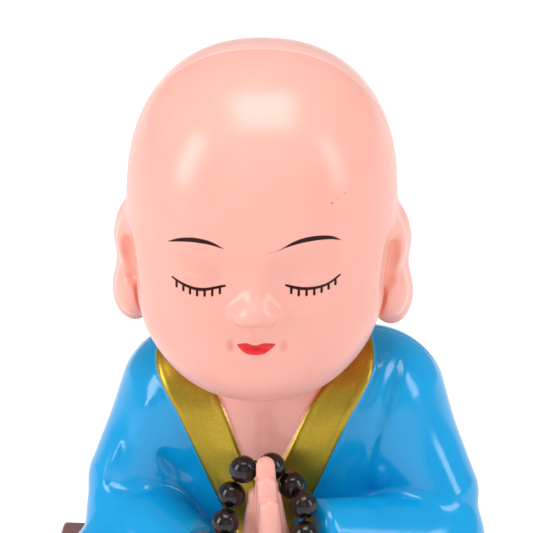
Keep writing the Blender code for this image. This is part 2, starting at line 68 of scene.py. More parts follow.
# The head's middle, and how far it bows and turns
HEAD_CENTRE = (-4.0, -7.0, 88.3)
HEAD_BOW = math.radians(4.5)
HEAD_TURN = math.radians(2.4)
HEAD_UNDERSIDE = 53.0

# Where the shells part, and the hairline joint that shows between them
HEAD_PARTING = 3.2
BODY_PARTING = 5.0
JOINT_WIDTH = 0.05
SEAM_DEPTH = 0.22
SEAM_HALF_WIDTH = 0.35

# The neck is a plug on the body that enters a socket in the head
NECK_RADIUS = 8.0
NECK_INSERTION = 6.0
NECK_CLEARANCE = 0.4
COLLAR_CLEARANCE = 1.1
COLLAR_SOFTNESS = 1.2

# Fineness of the skins: how much coarser the first remesh is, and how points settle on a surface
HEAD_VOXEL = 0.62
BODY_VOXEL = 0.74
FIRST_ROUND = 1.4
SLOPE_REACH = 0.02
LEAST_STEEPNESS = 0.25
SETTLED = 0.002
SETTLING_STEPS = 14
NEAR = 3.0
TINY = 1e-9


def ball(centre, radii, fullness=2.0):
    """An egg-shaped form with its own half sizes along x, y and z, boxier with more fullness."""
    return ("ball", np.array(centre, float), np.array(radii, float), fullness)


def limb(start, end, start_radius, end_radius):
    """A round form that tapers from one end to the other."""
    return ("limb", np.array(start, float), np.array(end, float), start_radius, end_radius)


def form_distance(form, points):
    """How far points lie outside a form."""
    if form[0] == "ball":
        scaled = np.abs((points - form[1]) / form[2])
        full = form[3]
        if full == 2.0:
            reach = np.sqrt((scaled * scaled).sum(axis=1))
            lean = scaled / np.maximum(reach, TINY)[:, None] / form[2]
        else:
            reach = (scaled**full).sum(axis=1) ** (1 / full)
            lean = (scaled / np.maximum(reach, TINY)[:, None]) ** (full - 1) / form[2]
        return (reach - 1) / np.maximum(np.linalg.norm(lean, axis=1), TINY)
    start, end, start_radius, end_radius = form[1:]
    along = end - start
    share = np.clip((points - start) @ along / (along @ along), 0, 1)
    nearest = start + share[:, None] * along
    return np.linalg.norm(points - nearest, axis=1) - (start_radius + share * (end_radius - start_radius))


def melt(first, second, softness):
    """The union of two distances with a soft fillet between them."""
    overlap = np.maximum(softness - np.abs(first - second), 0) / softness
    return np.minimum(first, second) - overlap * overlap * softness / 4


def carve(body, tool, softness):
    """One distance cut away from another with a soft edge."""
    return -melt(-body, tool, softness)


def melted(forms, points, softness):
    """All forms of a list melted together."""
    total = form_distance(forms[0], points)
    for form in forms[1:]:
        total = melt(total, form_distance(form, points), softness)
    return total


def reach_of(forms):
    """A sphere round a list of forms: its middle and its radius."""
    ends = []
    for form in forms:
        size = form[2].max() if form[0] == "ball" else max(form[3:])
        spots = (form[1],) if form[0] == "ball" else form[1:3]
        ends += [spot + side * size for spot in spots for side in (-1, 1)]
    low, high = np.min(ends, axis=0), np.max(ends, axis=0)
    return (low + high) / 2, np.linalg.norm(high - low) / 2


def melted_near(forms, points, softness):
    """Forms melted together near them, and farther off the distance to a sphere round them."""
    middle, reach = reach_of(forms)
    rough = np.linalg.norm(points - middle, axis=1) - reach
    near = rough < NEAR
    rough[near] = melted(forms, points[near], softness)
    return rough


def smooth_line(guides, count, closed=False):
    """Evenly counted points on a smooth line through a few guide points."""
    guides = np.array(guides, float)
    if closed:
        padded = np.vstack([guides[-1:], guides, guides[:2]])
    else:
        padded = np.vstack([2 * guides[:1] - guides[1:2], guides, 2 * guides[-1:] - guides[-2:-1]])
    spans = len(padded) - 3
    places = np.linspace(0, spans, count, endpoint=not closed)
    first = np.minimum(places.astype(int), spans - 1)
    share = (places - first)[:, None]
    before, start, end, after = (padded[first + step] for step in range(4))
    return 0.5 * (
        2 * start
        + (end - before) * share
        + (2 * before - 5 * start + 4 * end - after) * share**2
        + (3 * start - before - 3 * end + after) * share**3
    )


def stroke(line, half_widths, points, reach=NEAR):
    """How deep points lie inside a stroke of changing width, negative outside, down to the reach."""
    deepest = np.full(len(points), -float(reach))
    low = line.min(axis=0) - reach - half_widths.max()
    high = line.max(axis=0) + reach + half_widths.max()
    near = ((points > low) & (points < high)).all(axis=1)
    spots = points[near]
    found = np.full(len(spots), -float(reach))
    for start, end, first, last in zip(line[:-1], line[1:], half_widths[:-1], half_widths[1:]):
        run = end - start
        share = np.clip((spots - start) @ run / (run @ run), 0, 1)
        away = np.linalg.norm(spots - start - share[:, None] * run, axis=1)
        found = np.maximum(found, first + share * (last - first) - away)
    deepest[near] = found
    return deepest


# The head, drawn about its own middle, facing -y
SKULL = [
    ball((0, 1.5, 6.0), (28.7, 30.5, 31.2), 2.25),
    ball((0, -3.0, -10.0), (25.0, 24.5, 25.0), 2.2),
]
CHEEKS = [ball((side * 10.5, -13.5, -16.5), (11.2, 11.0, 11.2)) for side in (LEFT, RIGHT)]
CHIN = [ball((0, -16.0, -24.5), (12.0, 9.5, 8.0))]
NOSE = [
    ball((-0.2, -29.8, -8.5), (3.5, 3.8, 2.6)),
    ball((-3.0, -28.9, -9.1), (2.1, 2.5, 1.8)),
    ball((2.7, -28.9, -9.1), (2.1, 2.5, 1.8)),
    limb((0.6, -27.3, -1.0), (0.2, -28.7, -6.0), 1.4, 2.0),
]
LIPS = [
    limb((-3.5, -27.9, -16.3), (-1.2, -28.3, -16.2), 0.5, 0.85),
    limb((3.6, -27.9, -16.1), (1.1, -28.3, -16.1), 0.5, 0.85),
    ball((-0.1, -28.2, -17.7), (2.9, 1.5, 0.85)),
]
LIDS = [ball((side * 11.4, -19.4, -1.7), (7.6, 7.9, 4.5)) for side in (LEFT, RIGHT)]
EARS = [
    form
    for side in (LEFT, RIGHT)
    for form in (
        ball((side * 28.0, 2.0, -4.8), (3.6, 3.6, 7.2)),
        ball((side * 27.6, 1.6, -18.0), (4.7, 3.4, 7.6)),
        limb((side * 27.4, 2.0, -6.0), (side * 27.0, 1.6, -16.0), 3.0, 3.0),
        ball((side * 27.4, -3.4, -4.4), (3.4, 4.2, 6.4)),
        ball((side * 26.9, -3.4, -15.8), (4.3, 4.2, 6.2)),
    )
]
SOCKETS = [ball((side * 10.8, -34.6, -1.2), (9.4, 7.4, 5.4)) for side in (LEFT, RIGHT)]
EAR_HOLLOWS = [
    limb((side * 28.6, -7.6, -3.0), (side * 27.6, -7.2, -11.0), 1.3, 1.2) for side in (LEFT, RIGHT)
]
LOBE_CREASES = [
    limb((side * 26.4, -8.0, -12.0), (side * 24.4, -7.0, -21.0), 0.9, 0.9) for side in (LEFT, RIGHT)
]
TEMPLE_HOLLOWS = [ball((side * 32.0, -12.0, -7.0), (5.4, 7.0, 10.0)) for side in (LEFT, RIGHT)]
DIMPLES = [ball((side * 5.5 + 0.35, -29.2, -16.6), (0.7, 1.0, 1.3)) for side in (LEFT, RIGHT)]
PHILTRUM = [limb((0, -29.7, -12.8), (0, -29.6, -14.6), 0.5, 0.7)]


# How the head's forms join the skull, in order: added or carved, worked out everywhere or only near
# them, the forms, how softly they melt together, and how softly they meet the skin
SKULL_SOFTNESS = 9
HEAD_STEPS = [
    (melt, melted, CHEEKS, 8, 9),
    (melt, melted, CHIN, 8, 11),
    (carve, melted, SOCKETS, 4, 5),
    (melt, melted_near, LIDS, 1, 1.3),
    (melt, melted_near, NOSE, 3, 1.8),
    (carve, melted_near, DIMPLES + PHILTRUM, 0.3, 1.0),
    (melt, melted_near, LIPS, 0.5, 0.7),
    (carve, melted_near, TEMPLE_HOLLOWS, 1, 3.0),
    (melt, melted, EARS, 3, 2.0),
    (carve, melted, EAR_HOLLOWS + LOBE_CREASES, 1, 0.8),
]


def head_distance(points):
    """The head's skin, in its own frame."""
    skin = melted(SKULL, points, SKULL_SOFTNESS)
    for join, gather, forms, own_softness, softness in HEAD_STEPS:
        skin = join(skin, gather(forms, points, own_softness), softness)
    return skin


def seam_groove(points, parting):
    """The shallow groove where two shells meet."""
    return SEAM_DEPTH * np.exp(-(((points[:, 1] - parting) / SEAM_HALF_WIDTH) ** 2))


def grooved_head(points):
    """The head's skin with the groove where its shells meet."""
    return head_distance(points) + seam_groove(points, HEAD_PARTING)


def head_matrix():
    """From the head's own frame to the figure's."""
    turn = Matrix.Rotation(HEAD_TURN, 4, "Z") @ Matrix.Rotation(HEAD_BOW, 4, "X")
    return Matrix.Translation(HEAD_CENTRE) @ turn


INTO_HEAD = np.array(head_matrix().inverted())


def into_head(points):
    """Points of the figure's frame, seen in the head's own frame."""
    return points @ INTO_HEAD[:3, :3].T + INTO_HEAD[:3, 3]


# The robed body, seat at z = 0
TORSO = [
    ball((0, 6, 26), (28, 19, 32)),
    limb((-19, 4, 45), (19, 4, 46.2), 11.5, 11.5),
]
UPPER_ARMS = [
    limb((-23.2, 3, 42.8), (-32.6, -1, 24), 12.4, 10.2),
    limb((22.6, 3, 42.8), (33.0, -1, 23), 12.2, 10.0),
]
ELBOWS = {LEFT: (-33.0, -5.0, 18.0), RIGHT: (35.0, -5.0, 14.5)}
WRISTS = {LEFT: (-15.0, -27.0, 16.0), RIGHT: (9.0, -27.0, 24.3)}
HAND_ROOTS = {LEFT: (-13.0, -26.5, 16.5), RIGHT: (9.5, -26.5, 20.5)}
ELBOW_RADIUS = 9.5
WRIST_RADIUS = 7.0
SLEEVE_DROP = 9.0
ELBOW_DROP_SHARE = 0.5
HANGING_SHARE = 0.8
CUFF_REACH = 1.5
CUFF_WALL = {LEFT: 2.0, RIGHT: 6.0}
CUFF_SOFTNESS = {LEFT: 0.5, RIGHT: 2.5}
CUFF_DEPTH = 3.5
LEGS = [
    form
    for side in (LEFT, RIGHT)
    for form in (
        limb((side * 22, 10, 7.5), (side * 35, -12, 7.5), 12.0, 10.0),
        limb((side * 35, -13, 6.5), (side * 3, -26, 5.5), 9.5, 8.5),
    )
]
LAP = [ball((0, 2, 5), (41, 27, 13))]
NECK = [limb((-3.0, 0.0, 40.0), (-3.4, -1.5, 47.0), 13.0, 11.5)]
# How softly the body's forms melt together, and how softly they meet the torso
TORSO_SOFTNESS = 12
BODY_STEPS = [(UPPER_ARMS, 6, 8), (LAP + LEGS, 8, 6), (NECK, 2, 4)]
SLEEVE_SOFTNESS = 4
ARMPIT_SOFTNESS = 2.5
FINGER_SOFTNESS = 0.5
PALM_SOFTNESS = 0.25
WRIST_SOFTNESS = 0.6


def sleeve_forms(side):
    """One sleeve from elbow to wrist, with the cloth that hangs under it."""
    elbow = Vector(ELBOWS[side])
    wrist = Vector(WRISTS[side])
    drop = Vector((0, 0, -SLEEVE_DROP))
    hanging_radii = (ELBOW_RADIUS * HANGING_SHARE, WRIST_RADIUS * HANGING_SHARE)
    return [
        limb(elbow, wrist, ELBOW_RADIUS, WRIST_RADIUS),
        limb(elbow + drop * ELBOW_DROP_SHARE, wrist + drop, *hanging_radii),
    ]


def rough_sleeve_forms(side):
    """A sleeve's forms to remesh from, with their round ends drawn back behind the cuff."""
    forms = []
    for _, start, end, start_radius, end_radius in sleeve_forms(side):
        along = (end - start) / np.linalg.norm(end - start)
        forms.append(limb(start, end - along * (end_radius - CUFF_REACH), start_radius, end_radius))
    return forms


# The hands, pressed together and slightly askew: the one on the right lies in front and hides the other
HANDS = {
    LEFT: [
        limb(HAND_ROOTS[LEFT], (-3.8, -26.8, 20.0), 3.9, 3.2),
        limb((-3.8, -26.8, 20.0), (-3.4, -27.0, 32.0), 3.0, 2.0),
        limb((-2.6, -27.6, 26.0), (-1.9, -29.4, 38.0), 2.0, 1.4),
    ],
    RIGHT: [
        limb(HAND_ROOTS[RIGHT], (1.0, -29.4, 20.0), 3.9, 3.7),
        limb((0.9, -29.6, 20.0), (-0.4, -30.6, 33.0), 3.9, 2.7),
        limb((0.2, -33.0, 23.5), (0.0, -35.0, 33.0), 2.9, 2.1),
        limb((-0.2, -31.6, 27.0), (-0.7, -33.5, 37.7), 2.7, 2.05),
        limb((-0.6, -30.0, 27.0), (-1.1, -31.7, 41.2), 2.6, 2.0),
        limb((0.4, -27.6, 24.0), (-0.4, -28.9, 35.5), 2.3, 1.7),
    ],
}


def cuff_distance(side, points):
    """Beyond the plane of the cuff, towards the hand, where the sleeve ends."""
    elbow = np.array(ELBOWS[side])
    wrist = np.array(WRISTS[side])
    along = (wrist - elbow) / np.linalg.norm(wrist - elbow)
    return (points - wrist) @ along - CUFF_REACH


def sleeve_distance(side, points):
    """A sleeve cut off square at the cuff and hollow for a short way."""
    outside = melted(sleeve_forms(side), points, SLEEVE_SOFTNESS)
    cuff = cuff_distance(side, points)
    hollow = np.maximum(outside + CUFF_WALL[side], -cuff - CUFF_DEPTH)
    return np.maximum(-melt(-outside, -cuff, CUFF_SOFTNESS[side]), -hollow)


# The neckline, two bands that cross in front behind the hands and meet behind the neck
NECKLINE_FRONT = {
    LEFT: [(-2.2, -22, 19), (-9.7, -20, 33), (-16.4, -15, 46), (-23.0, -6, 54.5)],
    RIGHT: [(-2.2, -22, 19), (4.6, -20, 33), (10.8, -15, 46), (16.5, -6, 54.5)],
}
NECKLINE_BEHIND = {
    LEFT: [(-20.5, 6, 57), (-12, 14, 57)],
    RIGHT: [(13.5, 6, 57), (5, 14, 57)],
}
NAPE = (-3.4, 16.5, 56)
# The neckline's front is drawn on a slant before the chest and carried onto it along this direction
DRAWING_SLANT = np.array((-0.08, 0.927, -0.366))
CARRYING_START = 40
CARRYING_STEPS = 60
# Half widths along each band, from where the bands cross to the nape
BAND_HALF_WIDTHS = {
    LEFT: (5.2, 5.2, 4.9, 4.3, 4.0, 4.0, 4.0),
    RIGHT: (4.8, 4.8, 4.5, 3.6, 3.1, 3.1, 3.1),
}
BAND_HEIGHT = 0.9
BAND_EDGE = 1.0
BAND_RIM_WIDTH = 0.7
BAND_RIM_HEIGHT = 0.07
BAND_LINE_POINTS = 40
# How far from the chin the painted reflection of the skin reaches on the gold
CHIN_REFLECTION_REACH = 8.0

# Folds of the robe: a line along each, its half width and its depth. The armhole's groove and the
# creases at the elbows show in front, and the plain folds behind and on the lap run on both sides
FOLDS = [
    (
        [
            (25.5, -2.3, 56.4), (24.7, -6.4, 53.7), (23.4, -9.3, 49.7),
            (21.8, -10.7, 43.7), (19.0, -9.7, 31.0),
        ],
        1.4,
        1.3,
    ),
    ([(19.1, -20.7, 30.4), (22.5, -20.4, 29.0), (25.7, -19.2, 27.6)], 1.4, 0.9),
    ([(-25.9, -10.4, 34.8), (-22.7, -9.9, 30.9), (-18.5, -9.1, 27.4)], 2.0, 1.6),
    ([(-38.5, -9.0, 27.0), (-34.0, -12.5, 26.5), (-27.0, -14.0, 27.0)], 1.4, 1.3),
]
SIDE_FOLDS = [
    ([(7.0, -34.0, 9.0), (18.0, -31.5, 12.5), (30.0, -24.0, 13.0)], 1.6, 1.1),
    ([(12.0, -33.5, 4.0), (24.0, -30.0, 5.0), (36.0, -22.0, 6.0)], 1.6, 1.0),
    ([(12.0, 22.0, 50.0), (10.0, 25.5, 38.0), (13.0, 26.0, 22.0)], 2.2, 1.2),
    ([(24.0, 17.0, 46.0), (25.0, 21.0, 34.0), (29.0, 19.0, 20.0)], 2.0, 1.2),
]
# Narrow ridges of the cloth that catch the light, as a line, a half width and a height
RIDGES = [
    (
        [
            (8.4, -12.1, 26.9), (10.1, -11.6, 31.2), (12.4, -11.0, 37.2),
            (14.3, -11.0, 43.5), (15.7, -10.5, 49.9),
        ],
        0.6,
        0.4,
    ),
    ([(19.4, -9.7, 36.2), (20.5, -9.9, 39.1), (22.0, -10.1, 42.0)], 0.7, 0.4),
    ([(22.1, -10.1, 32.7), (21.2, -9.5, 29.5), (20.3, -9.0, 26.9)], 1.3, 0.6),
    ([(-28.2, -8.8, 46.2), (-29.5, -9.0, 42.3), (-31.7, -9.1, 36.8)], 2.2, 0.5),
    ([(-34.7, -7.8, 35.7), (-36.7, -8.5, 30.7), (-38.6, -9.2, 25.5)], 1.1, 0.5),
]
FOLD_REACH = 3
FOLD_TAPER = 1.5
FOLD_END_POWER = 3
POINTS_PER_GUIDE = 4


def surface_slope(points, distance, value):
    """The direction in which a distance grows, with its steepness."""
    slope = np.empty_like(points)
    for axis in range(3):
        shift = np.zeros(3)
        shift[axis] = SLOPE_REACH
        slope[:, axis] = (distance(points + shift) - value) / SLOPE_REACH
    return slope


def onto_surface(points, distance, steps, reach):
    """Points moved straight onto the surface where the distance is nought."""
    points = points.copy()
    moving = np.arange(len(points))
    for _ in range(steps):
        spots = points[moving]
        value = distance(spots)
        slope = surface_slope(spots, distance, value)
        length = np.maximum((slope * slope).sum(axis=1), LEAST_STEEPNESS)
        points[moving] = spots - np.clip(value / length, -reach, reach)[:, None] * slope
        moving = moving[np.abs(value) > SETTLED]
        if len(moving) == 0:
            break
    return points


def chest_distance(points):
    """The robe over trunk, shoulders and lap, and the neck, without sleeves."""
    robe = melted(TORSO, points, TORSO_SOFTNESS)
    for forms, own_softness, softness in BODY_STEPS:
        robe = melt(robe, melted(forms, points, own_softness), softness)
    return robe


def carried_onto(points, distance, direction):
    """Points carried along a direction until they meet the surface."""
    points = points - direction * CARRYING_START
    for _ in range(CARRYING_STEPS):
        points = points + distance(points)[:, None] * direction
    return points


def band_line(side):
    """The middle of one neckline band, lying on the chest and round the neck."""
    front = carried_onto(np.array(NECKLINE_FRONT[side], float), chest_distance, DRAWING_SLANT)
    guides = list(front) + NECKLINE_BEHIND[side] + [NAPE]
    return onto_surface(smooth_line(guides, BAND_LINE_POINTS), chest_distance, SETTLING_STEPS, 1.0)


BAND_LINES = {side: band_line(side) for side in (LEFT, RIGHT)}


def band_depth(side, points):
    """How deep points lie inside a neckline band, negative outside."""
    guides = BAND_HALF_WIDTHS[side]
    places = np.linspace(0, len(guides) - 1, BAND_LINE_POINTS)
    widths = np.interp(places, range(len(guides)), guides)
    return stroke(BAND_LINES[side], widths, points)


def soft_step(value):
    """From nought to one with soft ends, as value goes from nought to one."""
    value = np.clip(value, 0, 1)
    return value * value * (3 - 2 * value)


def band_lift(points):
    """How much the neckline's bands, with their rolled rims, raise the surface."""
    lift = np.zeros(len(points))
    for side in (LEFT, RIGHT):
        inside = band_depth(side, points)
        rim = soft_step(1 - np.abs(inside - BAND_EDGE) / BAND_RIM_WIDTH)
        flat = soft_step(inside / BAND_EDGE + 0.5)
        lift = np.maximum(lift, BAND_HEIGHT * flat + BAND_RIM_HEIGHT * rim)
    return lift


def fold_depth(points):
    """How far the folds sink the robe's surface, less what the ridges raise it."""
    depth = np.zeros(len(points))
    folds = FOLDS + [(guides, width, -height) for guides, width, height in RIDGES]
    for guides, width, deep in SIDE_FOLDS:
        folds += [([(side * x, y, z) for x, y, z in guides], width, deep) for side in (LEFT, RIGHT)]
    for guides, width, deep in folds:
        line = smooth_line(guides, POINTS_PER_GUIDE * len(guides))
        ends = np.abs(np.linspace(-1, 1, len(line))) ** FOLD_END_POWER
        away = -stroke(line, -FOLD_TAPER * width * ends, points, FOLD_REACH * width)
        depth += deep * np.exp(-((away / width) ** 2))
    return depth


def robe_distance(points):
    """Robe and neck under the neckline's bands."""
    skin = chest_distance(points)
    for side in (LEFT, RIGHT):
        skin = melt(skin, sleeve_distance(side, points), ARMPIT_SOFTNESS)
    return skin + fold_depth(points)


def hands_distance(points):
    """Both hands."""
    left, right = (melted_near(HANDS[side], points, FINGER_SOFTNESS) for side in (LEFT, RIGHT))
    return melt(left, right, PALM_SOFTNESS)


def plug_distance(points):
    """The neck's upright plug."""
    from_axis = np.hypot(points[:, 0] - HEAD_CENTRE[0], points[:, 1]) - NECK_RADIUS
    above = points[:, 2] - HEAD_UNDERSIDE - NECK_INSERTION
    below = HEAD_UNDERSIDE - NECK_INSERTION - points[:, 2]
    return np.maximum(np.maximum(from_axis, above), below)


def body_distance(points):
    """The whole skin of the body, with the hollow in which the head sits and the neck's plug."""
    skin = robe_distance(points) - band_lift(points) + seam_groove(points, BODY_PARTING)
    skin = melt(skin, hands_distance(points), WRIST_SOFTNESS)
    skin = carve(skin, head_distance(into_head(points)) - COLLAR_CLEARANCE, COLLAR_SOFTNESS)
    return np.minimum(skin, plug_distance(points))


def add_form(mesh, form):
    """Adds a form's rough primitive to a mesh that is still to be remeshed."""
    if form[0] == "ball":
        place = Matrix.Translation(form[1]) @ Matrix.Diagonal((*form[2], 1))
        bmesh.ops.create_icosphere(mesh, subdivisions=4, radius=1, matrix=place)
        return
    start, end = Vector(form[1]), Vector(form[2])
    along = end - start
    turn = along.to_track_quat("Z", "Y").to_matrix().to_4x4()
    for centre, radius in ((start, form[3]), (end, form[4])):
        place = Matrix.Translation(centre)
        bmesh.ops.create_icosphere(mesh, subdivisions=3, radius=radius, matrix=place)
    place = Matrix.Translation((start + end) / 2) @ turn
    bmesh.ops.create_cone(
        mesh, cap_ends=True, segments=24, radius1=form[3], radius2=form[4], depth=along.length, matrix=place
    )


def new_object(name, mesh_data):
    """A new object of the scene with that mesh."""
    item = bpy.data.objects.new(name, mesh_data)
    bpy.context.scene.collection.objects.link(item)
    return item


def apply_modifiers(body):
    """Turns an object's modifiers into its own mesh."""
    graph = bpy.context.evaluated_depsgraph_get()
    mesh = bpy.data.meshes.new_from_object(body.evaluated_get(graph))
    body.modifiers.clear()
    body.data = mesh


def mesh_points(mesh):
    """The places of a mesh's vertices."""
    points = np.empty(len(mesh.vertices) * 3)
    mesh.vertices.foreach_get("co", points)
    return points.reshape(-1, 3)


def settle(mesh, distance, reach):
    """Moves every vertex of a mesh onto the surface where the distance is nought."""
    points = onto_surface(mesh_points(mesh), distance, SETTLING_STEPS, reach)
    mesh.vertices.foreach_set("co", points.ravel())
    mesh.update()


def refine(mesh, wanted, cuts):
    """Splits the faces where the wanted test holds for their middles into finer ones."""
    fine = bmesh.new()
    fine.from_mesh(mesh)
    middles = np.array([face.calc_center_median() for face in fine.faces])
    chosen = wanted(middles)
    edges = {edge for face, take in zip(fine.faces, chosen) if take for edge in face.edges}
    bmesh.ops.subdivide_edges(fine, edges=list(edges), cuts=cuts, use_grid_fill=True)
    fine.to_mesh(mesh)
    fine.free()


def even_skin(body, voxel, distance):
    """One closed skin of evenly sized faces, moved onto the surface."""
    remesh = body.modifiers.new("one skin", "REMESH")
    remesh.mode = "VOXEL"
    remesh.voxel_size = voxel
    apply_modifiers(body)
    settle(body.data, distance, voxel)


def melted_skin(name, forms, distance, voxel, finer):
    """One closed skin of melted forms, in figure units, finer where the listed tests ask for it."""
    rough = bmesh.new()
    for form in forms:
        add_form(rough, form)
    mesh = bpy.data.meshes.new(name)
    rough.to_mesh(mesh)
    rough.free()
    body = new_object(name, mesh)
    even_skin(body, voxel * FIRST_ROUND, distance)
    even_skin(body, voxel, distance)
    for wanted, cuts in finer:
        refine(body.data, wanted, cuts)
        settle(body.data, distance, voxel / 2)
    return body


def cut_flat(body, point, normal):
    """Cuts a body on a plane, keeps the side the normal points away from, and closes the cut."""
    mesh = bmesh.new()
    mesh.from_mesh(body.data)
    geometry = mesh.verts[:] + mesh.edges[:] + mesh.faces[:]
    cut = bmesh.ops.bisect_plane(mesh, geom=geometry, plane_co=point, plane_no=normal, clear_outer=True)
    edges = [item for item in cut["geom_cut"] if isinstance(item, bmesh.types.BMEdge)]
    bmesh.ops.holes_fill(mesh, edges=edges, sides=0)
    mesh.to_mesh(body.data)
    mesh.free()


def copy_of(body, name):
    """Another object with its own copy of a mesh."""
    return new_object(name, body.data.copy())


def figure_matrix():
    """From figure units to the real place and size, on top of the base."""
    place = Matrix.Translation((0, FIGURE_SETBACK, base_high.z + GAP - DRAWN_SEAT * UNIT))
    return place @ Matrix.Scale(UNIT, 4)


def paint_layer(mesh, name, values):
    """Keeps one value for each vertex, which a material reads by its name."""
    layer = mesh.attributes.new(name, "FLOAT", "POINT")
    layer.data.foreach_set("value", values.astype(np.float32))


# Colours and node trees


def linear(colour):
    """A colour written as red, green and blue in hexadecimal, as linear light."""
    parts = [int(colour[place : place + 2], 16) / 255 for place in (0, 2, 4)]
    return tuple(part / 12.92 if part <= 0.04045 else ((part + 0.055) / 1.055) ** 2.4 for part in parts)


class Finish:
    """A Principled material under construction."""

    def __init__(self, name):
        self.material = bpy.data.materials.new(name)
        self.material.use_nodes = True
        self.tree = self.material.node_tree
        self.shader = self.tree.nodes["Principled BSDF"]

    def node(self, kind, links=(), **settings):
        """Adds a node, with its settings and with links into its sockets by name or number."""
        made = self.tree.nodes.new(kind)
        for name, value in settings.items():
            setattr(made, name, value)
        for socket, value in dict(links).items():
            target = made.inputs[socket]
            if isinstance(value, bpy.types.NodeSocket):
                self.tree.links.new(value, target)
            else:
                target.default_value = value
        return made

    def sums(self, operation, first, second=0.0, third=0.0):
        """The result of one sum."""
        made = self.node("ShaderNodeMath", {0: first, 1: second, 2: third}, operation=operation)
        return made.outputs[0]

    def layer(self, name):
        """A value that the mesh keeps for each vertex."""
        return self.node("ShaderNodeAttribute", attribute_name=name).outputs["Fac"]

    def ramp(self, value, low, high):
        """Nought below low and one above high, with soft ends."""
        links = {"Value": value, "From Min": low, "From Max": high}
        made = self.node("ShaderNodeMapRange", links, interpolation_type="SMOOTHSTEP")
        return made.outputs["Result"]

    def mix(self, share, first, second):
        """Two colours mixed by a share."""
        made = self.node("ShaderNodeMix", data_type="RGBA")
        for socket, value in ((0, share), (6, first), (7, second)):
            if isinstance(value, bpy.types.NodeSocket):
                self.tree.links.new(value, made.inputs[socket])
            elif isinstance(value, tuple) and len(value) == 3:
                made.inputs[socket].default_value = (*value, 1)
            else:
                made.inputs[socket].default_value = value
        return made.outputs[2]

    def noise(self, size, detail=2.0, roughness=0.5, distortion=0.0):
        """Noise whose spots are about that many metres wide, by Object coordinates."""
        place = self.node("ShaderNodeTexCoord").outputs["Object"]
        links = {"Vector": place, "Scale": 1 / size, "Detail": detail, "Roughness": roughness}
        made = self.node("ShaderNodeTexNoise", {**links, "Distortion": distortion})
        return made.outputs["Fac"]

    def clouds(self, size, detail):
        """Soft spots about that many metres wide, from nought to one."""
        return self.ramp(self.noise(size, detail), *CLOUD_RANGE)

    def bump(self, height, depth, after=None):
        """A normal from a height between nought and one that stands for a depth in metres."""
        links = {"Height": height, "Distance": depth, "Strength": 1.0}
        if after is not None:
            links["Normal"] = after
        return self.node("ShaderNodeBump", links).outputs["Normal"]

    def set(self, **values):
        """Sets or links the shader's own sockets, named with underscores for spaces."""
        for name, value in values.items():
            socket = self.shader.inputs[name.replace("_", " ")]
            if isinstance(value, bpy.types.NodeSocket):
                self.tree.links.new(value, socket)
            elif isinstance(value, tuple) and len(value) == 3 and socket.type == "RGBA":
                socket.default_value = (*value, 1)
            else:
                socket.default_value = value


CLOUD_RANGE = (0.3, 0.7)
SKIN_COLOUR = linear("f4b0a2")
SKIN_SHADE_COLOUR = linear("ec978b")
# Painted light: the back shell's skin, paler as if lit from above and behind
SKIN_PAINTED_LIGHT_COLOUR = linear("f3bdb2")
BROW_COLOUR = linear("2e110e")
LASH_COLOUR = linear("380d08")
LIP_COLOUR = linear("ee1c26")
# Painted shade: the deeper red of the upper lip, which faces down
UPPER_LIP_SHADE_COLOUR = linear("d81420")
# Painted shade: the warmer, darker tint of the dimples and of the ears' hollows and creases
SHADE_TINT_COLOUR = linear("f08a68")
ROBE_COLOUR = linear("069cdb")
ROBE_PALE_COLOUR = linear("10a8e8")
GOLD_COLOUR = linear("b3942f")
GOLD_BRIGHT_COLOUR = linear("e8cf5a")
GOLD_SHADE_COLOUR = linear("7d6620")
# Painted reflection: the orange that the gold takes on below the chin, as if it mirrored the skin
GOLD_CHIN_REFLECTION_COLOUR = linear("c76a1e")
SCUFF_COLOUR = linear("8a5040")
BASE_COLOUR = linear("7a4e4b")
BASE_PALE_COLOUR = linear("855653")
BASE_RUB_COLOUR = linear("a78583")
BEAD_COLOUR = linear("100d0e")
BEAD_STREAK_COLOUR = linear("2c1815")
THREAD_COLOUR = linear("141314")
THREAD_PALE_COLOUR = linear("2b292b")
PAPER_COLOUR = linear("828282")
PAPER_PALE_COLOUR = linear("868686")
PLASTIC_IOR = 1.5
SKIN_ROUGHNESS = 0.27
SCATTER_RADII = (1.0, 0.4, 0.25)
# Half widths of the soft edges between two paints, in figure units
INK_EDGE = 0.09
ROBE_PAINT_EDGE = 0.12


